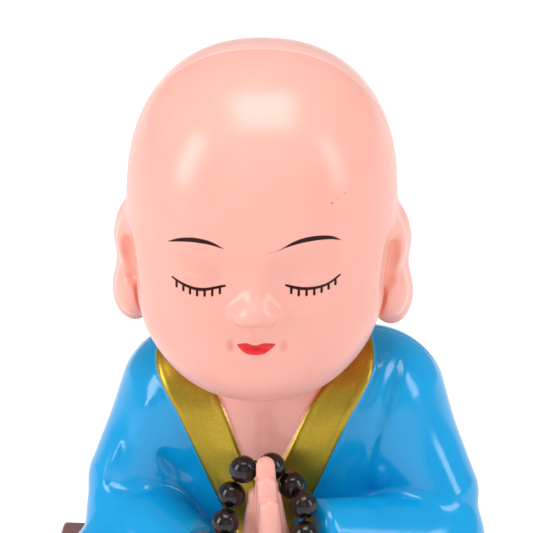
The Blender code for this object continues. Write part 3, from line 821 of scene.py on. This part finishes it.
def skin_finish(name, with_face):
    """Glossy, slightly milky plastic with a faint moulding ripple, and the painted face where asked;
    without the face it is painted paler, as if lit from above and behind.
    """
    finish = Finish(name)
    # Without the face, the colour is painted paler, standing in for the light from above and behind
    base_colour = SKIN_COLOUR if with_face else SKIN_PAINTED_LIGHT_COLOUR
    mottle_share = finish.sums("MULTIPLY", finish.clouds(7 * MM, 3), 0.10)
    colour = finish.mix(mottle_share, base_colour, SKIN_SHADE_COLOUR)
    if with_face:
        # Painted shade: a warmer, darker tint in the dimples and the ears' hollows and creases
        shade_tint = finish.ramp(finish.layer("shade_tint"), 0.0, 1.0)
        colour = finish.mix(finish.sums("MULTIPLY", shade_tint, 0.4), colour, SHADE_TINT_COLOUR)
        lips = finish.ramp(finish.layer("lips"), -INK_EDGE, INK_EDGE)
        # Painted shade: the upper lip, which faces down, is painted a deeper red than the lower lip
        lower_lip = finish.ramp(finish.layer("lower lip"), -0.1, 0.5)
        colour = finish.mix(lips, colour, finish.mix(lower_lip, UPPER_LIP_SHADE_COLOUR, LIP_COLOUR))
        brow = finish.ramp(finish.layer("brow"), -INK_EDGE, INK_EDGE)
        colour = finish.mix(brow, colour, BROW_COLOUR)
        lash = finish.ramp(finish.layer("lash"), -INK_EDGE, INK_EDGE)
        colour = finish.mix(lash, colour, LASH_COLOUR)
        scuff = finish.ramp(finish.layer("scuff"), -0.1, 0.1)
        colour = finish.mix(finish.sums("MULTIPLY", scuff, 0.7), colour, SCUFF_COLOUR)
        ink = finish.sums("MAXIMUM", brow, lash)
        finish.set(Specular_IOR_Level=finish.sums("MULTIPLY_ADD", ink, -0.35, 0.5))
    ripple = finish.bump(finish.noise(2.2 * MM, 2), 0.012 * MM)
    finish.set(Base_Color=colour, Roughness=SKIN_ROUGHNESS, Normal=ripple, IOR=PLASTIC_IOR)
    finish.set(Subsurface_Weight=0.15, Subsurface_Scale=1.5 * MM, Subsurface_Radius=SCATTER_RADII)
    return finish.material


def robe_finish():
    """Blue sprayed plastic with a wet gloss, gold on bands and linings, and skin where the cloth ends."""
    finish = Finish("blue robe, gold bands and skin")
    blue_share = finish.sums("MULTIPLY", finish.clouds(9 * MM, 3), 0.35)
    blue = finish.mix(blue_share, ROBE_COLOUR, ROBE_PALE_COLOUR)
    flakes = finish.noise(0.35 * MM, 2, 0.7)
    flake_share = finish.ramp(flakes, 0.35, 0.75)
    cloudy = finish.ramp(finish.noise(5 * MM, 3), 0.3, 0.75)
    gold = finish.mix(finish.sums("MULTIPLY", flake_share, 0.25), GOLD_COLOUR, GOLD_BRIGHT_COLOUR)
    gold = finish.mix(finish.sums("MULTIPLY", cloudy, 0.2), gold, GOLD_SHADE_COLOUR)
    # Painted reflection: the gold turns orange near the chin, as if it mirrored the skin above it
    gold = finish.mix(finish.layer("chin_reflection"), gold, GOLD_CHIN_REFLECTION_COLOUR)
    skin = finish.ramp(finish.layer("skin"), -ROBE_PAINT_EDGE, ROBE_PAINT_EDGE)
    band = finish.ramp(finish.layer("gold"), -ROBE_PAINT_EDGE, ROBE_PAINT_EDGE)
    colour = finish.mix(skin, blue, SKIN_COLOUR)
    colour = finish.mix(band, colour, gold)
    metal = finish.sums("MULTIPLY", band, 0.9)
    roughness = finish.sums("MULTIPLY_ADD", band, 0.2, 0.15)
    ripple = finish.bump(finish.noise(2.6 * MM, 2), 0.014 * MM)
    grain = finish.bump(flakes, finish.sums("MULTIPLY", band, 0.006 * MM), ripple)
    subsurface = finish.sums("MULTIPLY", skin, 0.25)
    finish.set(Base_Color=colour, Roughness=roughness, Metallic=metal, Normal=grain, IOR=PLASTIC_IOR)
    finish.set(Subsurface_Weight=subsurface, Subsurface_Scale=2.5 * MM, Subsurface_Radius=SCATTER_RADII)
    return finish.material


def base_finish():
    """Brown moulded plastic, satin, with faint sink marks and rub marks."""
    finish = Finish("brown base plastic")
    mottle = finish.clouds(14 * MM, 4)
    colour = finish.mix(mottle, BASE_COLOUR, BASE_PALE_COLOUR)
    rub = finish.ramp(finish.noise(1.1 * MM, 5, 0.7, 0.6), 0.62, 0.8)
    colour = finish.mix(finish.sums("MULTIPLY", rub, 0.25), colour, BASE_RUB_COLOUR)
    roughness = finish.sums("MULTIPLY_ADD", mottle, 0.08, 0.4)
    ripple = finish.bump(finish.noise(3 * MM, 3), 0.03 * MM)
    finish.set(Base_Color=colour, Roughness=roughness, Normal=ripple)
    return finish.material


def bead_finish():
    """Dark stained and lacquered wood beads, faint red-brown grain under the gloss."""
    finish = Finish("black-brown lacquered bead")
    along = finish.node("ShaderNodeAttribute", attribute_name="grain").outputs["Vector"]
    grain = finish.node("ShaderNodeTexNoise", {"Vector": along, "Scale": 1 / (1.2 * MM), "Detail": 3.0})
    streak = finish.ramp(grain.outputs["Fac"], 0.4, 0.75)
    colour = finish.mix(streak, BEAD_COLOUR, BEAD_STREAK_COLOUR)
    roughness = finish.sums("MULTIPLY_ADD", streak, 0.1, 0.16)
    ripple = finish.bump(grain.outputs["Fac"], 0.02 * MM)
    finish.set(Base_Color=colour, Roughness=roughness, Normal=ripple, IOR=PLASTIC_IOR)
    return finish.material


def thread_finish():
    """Black elastic cord: matt, with the fine twist of its cover."""
    finish = Finish("black elastic thread")
    fibres = finish.noise(0.12 * MM, 2)
    colour = finish.mix(fibres, THREAD_COLOUR, THREAD_PALE_COLOUR)
    finish.set(Base_Color=colour, Roughness=0.65, Normal=finish.bump(fibres, 0.03 * MM))
    return finish.material


# The face's paint, as strokes across the head's own x and z
BROWS = [
    [(-18.4, 4.95), (-16.1, 6.0), (-13.4, 6.7), (-10.8, 6.8), (-8.8, 6.5), (-6.6, 5.7)],
    [(5.6, 6.05), (7.65, 6.95), (10.0, 7.55), (12.85, 7.65), (15.5, 7.2), (17.5, 6.2)],
]
BROW_HALF_WIDTH = 0.52
BROW_TIP = 0.02
BROW_TAPER = 0.7
LID_LINES = [
    [
        (-17.5, -2.75), (-16.3, -3.35), (-14.6, -4.05), (-12.9, -4.5),
        (-11.05, -4.55), (-9.15, -4.15), (-6.45, -3.3),
    ],
    [(6.25, -2.95), (7.7, -3.5), (9.55, -3.9), (11.4, -3.9), (13.3, -3.6), (15.1, -2.95), (17.3, -1.55)],
]
LID_HALF_WIDTH = 0.38
LID_TIP_SHARE = 0.62
LASH_TIPS = [
    [
        (-16.65, -4.95), (-15.2, -5.5), (-13.8, -5.95), (-12.3, -6.15),
        (-10.7, -6.05), (-9.1, -5.8), (-7.5, -5.2),
    ],
    [(7.35, -4.9), (8.9, -5.5), (10.5, -5.55), (12.1, -5.55), (13.6, -5.15), (15.05, -4.6), (16.45, -3.8)],
]
LASH_LENGTH = 1.35
LASH_HALF_WIDTH = 0.27
LIP_TOP = [
    (-4.1, -16.25), (-3.0, -15.95), (-1.7, -15.8), (-0.1, -16.3),
    (1.3, -15.75), (3.0, -15.8), (4.25, -15.95),
]
LIP_BOTTOM = [
    (-4.1, -16.25), (-3.5, -17.05), (-2.7, -17.8), (-1.7, -18.3), (-0.2, -18.5),
    (1.4, -18.25), (2.5, -17.7), (3.5, -16.9), (4.25, -15.95),
]
LIP_MIDDLE = [(-4.1, -16.25), (-2.1, -16.75), (-0.1, -17.05), (2.1, -16.65), (4.25, -15.95)]
SCUFF = [(2.6, 5.2), (4.2, 5.5), (5.4, 5.9), (6.0, 6.3)]
SPECKS = [(15.65, 14.5, 0.2), (16.9, 15.1, 0.1), (18.3, 15.8, 0.13), (19.5, 16.4, 0.08), (8.1, 19.2, 0.08)]
SCUFF_HALF_WIDTHS = (0.06, 0.2)
FACE_FRONT = -14
FAR_AWAY = 1000
# Where the painted shade of the dimples lies and how wide it is, and how far the painted shade reaches out
# of the ears' hollows
DIMPLE_SHADE_PLACES = (-5.1, 5.85)
DIMPLE_SHADE_HEIGHT = -16.7
DIMPLE_SHADE_SIZE = (0.9, 1.6)
EAR_SHADE_REACH = 0.9
# How many points are drawn along a painted line, a lip's edge and a short line
LINE_POINTS = 25
LIP_POINTS = 40
SHORT_LINE_POINTS = 12

# The body's paint: the gold of the linings, the skin's gap to it, and the robe's opening
LINING_SHARE = 0.6
LINING_REACH = CUFF_DEPTH + 1.0
HAND_GOLD_GAP = 0.3
HAND_SKIN_REACH = 0.35
FRONT_BAND_POINTS = 28
CHEST_BACK = 2
CHEST_FOOT = 24
COLLAR_MIDDLE = -3.4
COLLAR_RADIUS = 12.5
COLLAR_TOP = 57.5
# How strong the painted reflection of the chin is on the gold
CHIN_REFLECTION_STRENGTH = 0.75


def lip_depth(flat):
    """How deep points of the face lie inside the painted lips."""
    top = smooth_line(LIP_TOP, LIP_POINTS)
    bottom = smooth_line(LIP_BOTTOM, LIP_POINTS)
    above = np.interp(flat[:, 0], top[:, 0], top[:, 1])
    below = np.interp(flat[:, 0], bottom[:, 0], bottom[:, 1])
    depth = np.minimum(above - flat[:, 1], flat[:, 1] - below)
    outside = (flat[:, 0] < LIP_TOP[0][0]) | (flat[:, 0] > LIP_TOP[-1][0])
    return np.clip(np.where(outside, -1.0, depth), -1, 1)


def face_plane(points):
    """Points as the head's own x and z, with all that lies behind the face moved far away."""
    flat = points[:, [0, 2]].copy()
    flat[points[:, 1] > FACE_FRONT] = FAR_AWAY
    return flat


def brow_depth(flat):
    """How deep points of the face lie inside the painted brows."""
    depth = np.full(len(flat), -NEAR)
    share = np.linspace(0, 1, LINE_POINTS)
    widths = BROW_HALF_WIDTH * np.sin(math.pi * np.clip(share, BROW_TIP, 1 - BROW_TIP)) ** BROW_TAPER
    for guides in BROWS:
        depth = np.maximum(depth, stroke(smooth_line(guides, LINE_POINTS), widths, flat))
    return depth


def lash_depth(flat):
    """How deep points of the face lie inside the lines of the closed lids and their lashes."""
    depth = np.full(len(flat), -NEAR)
    bulge = np.sin(math.pi * np.linspace(0, 1, LINE_POINTS))
    widths = LID_HALF_WIDTH * (LID_TIP_SHARE + (1 - LID_TIP_SHARE) * bulge)
    for guides, tips in zip(LID_LINES, LASH_TIPS):
        depth = np.maximum(depth, stroke(smooth_line(guides, LINE_POINTS), widths, flat))
        for x, z in tips:
            lash = np.array([(x, z + LASH_LENGTH), (x, z + LASH_HALF_WIDTH)])
            depth = np.maximum(depth, stroke(lash, np.full(2, LASH_HALF_WIDTH), flat))
    return depth


def shade_tint_strength(points, flat):
    """How strong the painted shade is: a warmer, darker tint in the dimples beside the mouth and in the
    ears' hollows and creases.
    """
    shade_tint = np.zeros(len(points))
    for x in DIMPLE_SHADE_PLACES:
        away = (flat - (x, DIMPLE_SHADE_HEIGHT)) / DIMPLE_SHADE_SIZE
        shade_tint += np.exp(-(away**2).sum(axis=1))
    for form in EAR_HOLLOWS + LOBE_CREASES:
        shade_tint += np.exp(-((np.maximum(form_distance(form, points), 0) / EAR_SHADE_REACH) ** 2))
    return shade_tint


def scuff_depth(flat):
    """How deep points of the face lie inside the mark beside a brow and the specks of dirt."""
    line = smooth_line(SCUFF, SHORT_LINE_POINTS)
    depth = stroke(line, np.linspace(*SCUFF_HALF_WIDTHS, SHORT_LINE_POINTS), flat)
    for x, z, radius in SPECKS:
        depth = np.maximum(depth, radius - np.hypot(flat[:, 0] - x, flat[:, 1] - z))
    return depth


def paint_face(mesh):
    """Lays out brows, lashes, lips, the painted shade of dimples and ears, and scuffs on the face, in the
    head's own frame.
    """
    points = mesh_points(mesh)
    flat = face_plane(points)
    middle = smooth_line(LIP_MIDDLE, LIP_POINTS)
    lower_lip = np.interp(flat[:, 0], middle[:, 0], middle[:, 1]) - flat[:, 1]
    paint_layer(mesh, "brow", brow_depth(flat))
    paint_layer(mesh, "lash", lash_depth(flat))
    paint_layer(mesh, "lips", lip_depth(flat))
    paint_layer(mesh, "lower lip", np.clip(lower_lip, -1, 1))
    # The painted shade of dimples and ears
    paint_layer(mesh, "shade_tint", shade_tint_strength(points, flat))
    paint_layer(mesh, "scuff", scuff_depth(flat))


def gold_depth(points):
    """How deep points lie inside the gold of the neckline's bands and of the sleeves' linings."""
    gold = np.full(len(points), -NEAR)
    for side in (LEFT, RIGHT):
        gold = np.maximum(gold, band_depth(side, points))
        sleeve = melted(sleeve_forms(side), points, SLEEVE_SOFTNESS)
        lining = -sleeve - CUFF_WALL[side] * LINING_SHARE
        near_cuff = cuff_distance(side, points) + LINING_REACH
        gold = np.maximum(gold, np.minimum(lining, near_cuff))
    return gold


def opening_depth(points):
    """How deep points lie inside the robe's opening, between the bands or above the collar."""
    edges = []
    for side in (LEFT, RIGHT):
        line = BAND_LINES[side][:FRONT_BAND_POINTS]
        order = np.argsort(line[:, 2])
        edges.append(np.interp(points[:, 2], line[order, 2], line[order, 0]))
    between = np.minimum(points[:, 0] - edges[0], edges[1] - points[:, 0])
    on_chest = (points[:, 1] < CHEST_BACK) & (points[:, 2] > CHEST_FOOT)
    in_collar = np.hypot(points[:, 0] - COLLAR_MIDDLE, points[:, 1]) < COLLAR_RADIUS
    above = np.where(in_collar, points[:, 2] - COLLAR_TOP, -NEAR)
    return np.maximum(np.where(on_chest, between, -NEAR), above)


def paint_robe(mesh):
    """Lays out the gold, the bare skin and the painted reflection of the chin on the gold below it, in
    figure units.
    """
    points = mesh_points(mesh)
    hands = hands_distance(points)
    gold = np.minimum(gold_depth(points), hands - HAND_GOLD_GAP)
    skin = np.maximum(opening_depth(points), HAND_SKIN_REACH - hands)
    chin = head_distance(into_head(points))
    paint_layer(mesh, "gold", np.clip(gold, -1, 1))
    paint_layer(mesh, "skin", np.clip(skin, -1, 1))
    # The painted reflection of the chin: stronger on the gold the closer it lies to the chin
    paint_layer(mesh, "chin_reflection", CHIN_REFLECTION_STRENGTH * soft_step(1 - chin / CHIN_REFLECTION_REACH))


# The pieces


def finish_piece(piece, material, node):
    """Gives a piece its material, smooth shading and its place on the frame, and hides the node it stands
    for.
    """
    piece.data.materials.clear()
    piece.data.materials.append(material)
    piece.data.shade_smooth()
    piece.data.set_sharp_from_angle(angle=math.radians(40))
    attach(piece, "root")
    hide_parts(node)


# How far round the paint and the fine forms the skins are made finer, and where the face and mouth lie
SPECK_MARGIN = 0.8
BROW_MARGIN = 0.9
LASH_MARGIN = 1.2
BAND_MARGIN = 1.2
RIDGE_MARGIN = 0.8
HAND_MARGIN = 0.8
SEAM_MARGIN = 3 * SEAM_HALF_WIDTH
PAINT_EDGE = 0.2
BAND_EDGE_MARGIN = 0.6
HAND_EDGE_MARGIN = 0.4
FACE_HALF_WIDTH = 19
FACE_DEPTH = -18
FACE_HEIGHTS = (-20, 9)
MOUTH_HALF_WIDTH = 5.2
MOUTH_HEIGHTS = (-19.2, -15)


def near_specks(points):
    """True close to the specks of dirt on the forehead."""
    away = [np.hypot(points[:, 0] - x, points[:, 2] - z) for x, z, _ in SPECKS]
    return (np.min(away, axis=0) < SPECK_MARGIN) & (points[:, 1] < FACE_FRONT)


def face_detail(points):
    """True where the face is painted or finely formed, and close to the seam."""
    across, forward, up = points.T
    face = (np.abs(across) < FACE_HALF_WIDTH) & (forward < FACE_DEPTH)
    face &= (up > FACE_HEIGHTS[0]) & (up < FACE_HEIGHTS[1])
    return face | near_specks(points) | (np.abs(forward - HEAD_PARTING) < SEAM_MARGIN)


def ink_detail(points):
    """True close to the painted lines of the face."""
    flat = face_plane(points)
    near = near_specks(points)
    for lines, margin in ((BROWS + LID_LINES, BROW_MARGIN), (LASH_TIPS, LASH_MARGIN)):
        for guides in lines:
            line = smooth_line(guides, SHORT_LINE_POINTS)
            near |= stroke(line, np.full(SHORT_LINE_POINTS, margin), flat) > 0
    across, up = flat.T
    mouth = (np.abs(across) < MOUTH_HALF_WIDTH) & (up > MOUTH_HEIGHTS[0]) & (up < MOUTH_HEIGHTS[1])
    return near | mouth


def make_head():
    """The face shell and the back shell of the head."""
    forms = SKULL + CHEEKS + CHIN + NOSE + LIPS + LIDS + EARS
    finer = [(face_detail, 1), (ink_detail, 1)]
    front = melted_skin("face_shell", forms, grooved_head, HEAD_VOXEL, finer)
    back = copy_of(front, "head_back_shell")
    cut_flat(front, (0, HEAD_PARTING - JOINT_WIDTH / 2, 0), (0, 1, 0))
    cut_flat(back, (0, HEAD_PARTING + JOINT_WIDTH / 2, 0), (0, -1, 0))
    paint_face(front.data)
    for shell in (front, back):
        shell.data.transform(figure_matrix() @ head_matrix())
        cut_socket(shell)
    finish_piece(front, skin_finish("painted face plastic", True), "head_front")
    # The back shell is painted paler, as if lit from above and behind
    finish_piece(back, skin_finish("back shell skin plastic, painted lighter", False), "head_back")


SOCKET_TOOL_REACH = 30 * MM
ROUND_TOOL_SIDES = 48


def cut_socket(shell):
    """Cuts the neck's socket into a shell of the head."""
    floor = figure_matrix() @ Vector((HEAD_CENTRE[0], 0, HEAD_UNDERSIDE))
    top = floor.z + NECK_INSERTION * UNIT + GAP
    radius = (NECK_RADIUS + NECK_CLEARANCE) * UNIT
    bottom = floor.z - SOCKET_TOOL_REACH
    tool_mesh = bmesh.new()
    place = Matrix.Translation((floor.x, floor.y, (bottom + top) / 2))
    size = {"radius1": radius, "radius2": radius, "depth": top - bottom}
    bmesh.ops.create_cone(tool_mesh, cap_ends=True, segments=ROUND_TOOL_SIDES, matrix=place, **size)
    data = bpy.data.meshes.new("socket tool")
    tool_mesh.to_mesh(data)
    tool_mesh.free()
    tool = new_object("socket_tool", data)
    change = shell.modifiers.new("socket", "BOOLEAN")
    change.operation = "DIFFERENCE"
    change.object = tool
    change.solver = "EXACT"
    apply_modifiers(shell)
    bpy.data.objects.remove(tool)


def body_detail(points):
    """True on the neckline, the hands and the ridges."""
    fine = hands_distance(points) < HAND_MARGIN
    for side in (LEFT, RIGHT):
        fine |= band_depth(side, points) > -BAND_MARGIN
    for guides, width, _ in RIDGES:
        line = smooth_line(guides, SHORT_LINE_POINTS)
        fine |= stroke(line, np.full(SHORT_LINE_POINTS, width), points) > -RIDGE_MARGIN
    return fine


def body_edges(points):
    """True close to the edges of the paint and of the shells."""
    fine = np.abs(points[:, 1] - BODY_PARTING) < SEAM_MARGIN
    for side in (LEFT, RIGHT):
        fine |= np.abs(band_depth(side, points) - PAINT_EDGE) < BAND_EDGE_MARGIN
    return fine | (np.abs(hands_distance(points) - PAINT_EDGE) < HAND_EDGE_MARGIN)


def make_body():
    """The front and back shells of the robed body."""
    forms = TORSO + UPPER_ARMS + LAP + LEGS + NECK
    for side in (LEFT, RIGHT):
        forms = forms + rough_sleeve_forms(side) + HANDS[side]
    neck_foot = (HEAD_CENTRE[0], 0, HEAD_UNDERSIDE - NECK_INSERTION - NECK_RADIUS)
    neck_top = (HEAD_CENTRE[0], 0, HEAD_UNDERSIDE + NECK_INSERTION - NECK_RADIUS)
    forms = forms + [limb(neck_foot, neck_top, NECK_RADIUS, NECK_RADIUS)]
    finer = [(body_detail, 1), (body_edges, 1)]
    front = melted_skin("robe_front_shell", forms, body_distance, BODY_VOXEL, finer)
    paint_robe(front.data)
    cut_flat(front, (0, 0, DRAWN_SEAT), (0, 0, -1))
    back = copy_of(front, "robe_back_shell")
    cut_flat(front, (0, BODY_PARTING - JOINT_WIDTH / 2, 0), (0, 1, 0))
    cut_flat(back, (0, BODY_PARTING + JOINT_WIDTH / 2, 0), (0, -1, 0))
    finish = robe_finish()
    for shell, node in ((front, "body_front"), (back, "body_back")):
        shell.data.transform(figure_matrix())
        finish_piece(shell, finish, node)


def make_base():
    """The slab, with finely rounded edges."""
    mesh = bmesh.new()
    middle = (base_low + base_high) / 2
    place = Matrix.Translation(middle) @ Matrix.Diagonal((*(base_high - base_low), 1))
    bmesh.ops.create_cube(mesh, size=1, matrix=place)
    rounding = {"offset": BASE_EDGE, "segments": 5, "profile": 0.5, "affect": "EDGES", "material": -1}
    bmesh.ops.bevel(mesh, geom=mesh.edges[:], **rounding)
    data = bpy.data.meshes.new("base_slab")
    mesh.to_mesh(data)
    mesh.free()
    finish_piece(new_object("base_slab", data), base_finish(), "base")


BEAD_RADIUS = 3.0 * MM
BEAD_SIDES = 40
BEAD_RINGS = 20
BORE_RADIUS = 0.8 * MM
BORE_ROUNDING = 0.25 * MM
SAME_POINT = 0.001 * MM
# The grain's coordinates are squeezed along a bead's axis and moved on from bead to bead
GRAIN_STRETCH = (1, 1, 0.25)
GRAIN_SHIFT = np.array((0.01, 0.02, 0.03))


def bead_outline(radius):
    """The half outline of a bored bead, from its bore's top to its bottom, as radius and height."""
    tilt = math.acos((BORE_RADIUS + BORE_ROUNDING) / radius)
    angles = [tilt - 2 * tilt * step / BEAD_RINGS for step in range(BEAD_RINGS + 1)]
    round_side = [(radius * math.cos(angle), radius * math.sin(angle)) for angle in angles]
    lip = round_side[0][1] - BORE_ROUNDING
    return [(BORE_RADIUS, lip), *round_side, (BORE_RADIUS, -lip)]


def make_bead(number, node, centre, axis, finish):
    """One turned bead, bored along its axis."""
    outline = bead_outline(BEAD_RADIUS)
    mesh = bmesh.new()
    ring = [mesh.verts.new((radius, 0, height)) for radius, height in outline]
    edges = [mesh.edges.new((ring[step], ring[(step + 1) % len(ring)])) for step in range(len(ring))]
    turning = {"cent": (0, 0, 0), "axis": (0, 0, 1), "angle": 2 * math.pi, "steps": BEAD_SIDES}
    bmesh.ops.spin(mesh, geom=ring + edges, use_merge=True, **turning)
    bmesh.ops.remove_doubles(mesh, verts=mesh.verts[:], dist=SAME_POINT)
    bmesh.ops.recalc_face_normals(mesh, faces=mesh.faces[:])
    data = bpy.data.meshes.new(f"wood_bead_{number:02d}")
    mesh.to_mesh(data)
    mesh.free()
    local = mesh_points(data)
    layer = data.attributes.new("grain", "FLOAT_VECTOR", "POINT")
    shifted = local * GRAIN_STRETCH + GRAIN_SHIFT * number
    layer.data.foreach_set("vector", shifted.astype(np.float32).ravel())
    turn = axis.to_track_quat("Z", "Y").to_matrix().to_4x4()
    data.transform(Matrix.Translation(centre) @ turn)
    finish_piece(new_object(f"wood_bead_{number:02d}", data), finish, node)


def make_beads():
    """All beads, each in the place of its solid, and the thread's finish."""
    nodes = sorted(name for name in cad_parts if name.startswith(("bead_0", "bead_1")))
    centres = []
    for node in nodes:
        low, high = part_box(node)
        centres.append((low + high) / 2)
    finish = bead_finish()
    for number, node in enumerate(nodes):
        axis = (centres[(number + 1) % len(nodes)] - centres[number - 1]).normalized()
        make_bead(number + 1, node, centres[number], axis, finish)
    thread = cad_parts["bead_thread"]
    thread.data.materials.clear()
    thread.data.materials.append(thread_finish())


# The studio, with places, sizes and powers in metres and watts

PHOTO_SIZE = 533
FOCAL_PIXELS = 4500
CAMERA_TURN = math.radians(5)
CAMERA_RISE = math.radians(21)
CAMERA_DISTANCE = 0.95
AIM = Vector((0, -0.027, 0.0575))
AIM_PIXEL = (270.5, 457.0)
SENSOR = 36.0
NEAR_CLIP = 0.01
FLOOR_HALF_SIZE = 6
FLOOR_EMISSION = 0.92
SURROUND_STRENGTH = 0.36
LAMP_TARGET = Vector((0, 0, 0.09))
# Each lamp's place, width, height and power
LAMPS = {
    "overhead softbox": ((0.02, -0.1, 0.75), 0.40, 0.44, 2.9),
    "left softbox": ((-0.8, -0.45, 0.48), 0.3, 0.7, 4.4),
    "right softbox": ((0.87, -0.3, 0.48), 0.24, 0.7, 2.8),
    "front fill": ((0.1, -1.3, 0.6), 0.9, 0.9, 1.0),
}


def make_camera():
    """The camera, set so that a point at the fingertips falls on its pixel of the photograph."""
    data = bpy.data.cameras.new("camera")
    data.sensor_width = SENSOR
    data.lens = SENSOR * FOCAL_PIXELS / PHOTO_SIZE
    data.clip_start = NEAR_CLIP
    camera = new_object("camera", data)
    turn, rise = CAMERA_TURN, CAMERA_RISE
    back = Vector((math.sin(turn) * math.cos(rise), -math.cos(turn) * math.cos(rise), math.sin(rise)))
    right = Vector((math.cos(turn), math.sin(turn), 0))
    up = back.cross(right)
    across = (AIM_PIXEL[0] - PHOTO_SIZE / 2) / FOCAL_PIXELS * CAMERA_DISTANCE
    down = (AIM_PIXEL[1] - PHOTO_SIZE / 2) / FOCAL_PIXELS * CAMERA_DISTANCE
    camera.location = AIM + back * CAMERA_DISTANCE - right * across + up * down
    axes = Matrix((right, up, back)).transposed()
    camera.rotation_euler = axes.to_euler()
    bpy.context.scene.camera = camera


def make_light(name, place, width, height, power):
    """A soft rectangular lamp that looks at the figure."""
    data = bpy.data.lights.new(name, "AREA")
    data.shape = "RECTANGLE"
    data.size = width
    data.size_y = height
    data.energy = power
    lamp = new_object(name, data)
    lamp.location = place
    lamp.rotation_euler = (Vector(place) - LAMP_TARGET).to_track_quat("Z", "Y").to_euler()


def make_floor():
    """A plain pale floor that glows a little."""
    mesh = bmesh.new()
    bmesh.ops.create_grid(mesh, x_segments=1, y_segments=1, size=FLOOR_HALF_SIZE)
    data = bpy.data.meshes.new("floor")
    mesh.to_mesh(data)
    mesh.free()
    floor = new_object("floor", data)
    finish = Finish("white paper floor")
    fibres = finish.noise(1.5 * MM, 3)
    finish.set(Base_Color=finish.mix(fibres, PAPER_COLOUR, PAPER_PALE_COLOUR), Roughness=0.9)
    finish.set(Emission_Color=(1, 1, 1), Emission_Strength=FLOOR_EMISSION)
    floor.data.materials.append(finish.material)


def make_studio():
    """The floor, the soft lamps and a bright surround."""
    make_floor()
    for name, (place, width, height, power) in LAMPS.items():
        make_light(name, place, width, height, power)
    world = bpy.data.worlds.new("surround")
    world.use_nodes = True
    background = world.node_tree.nodes["Background"]
    background.inputs["Color"].default_value = (1, 1, 1, 1)
    background.inputs["Strength"].default_value = SURROUND_STRENGTH
    bpy.context.scene.world = world
    bpy.context.scene.view_settings.view_transform = "Standard"


make_head()
make_body()
make_base()
make_beads()
make_studio()
make_camera()
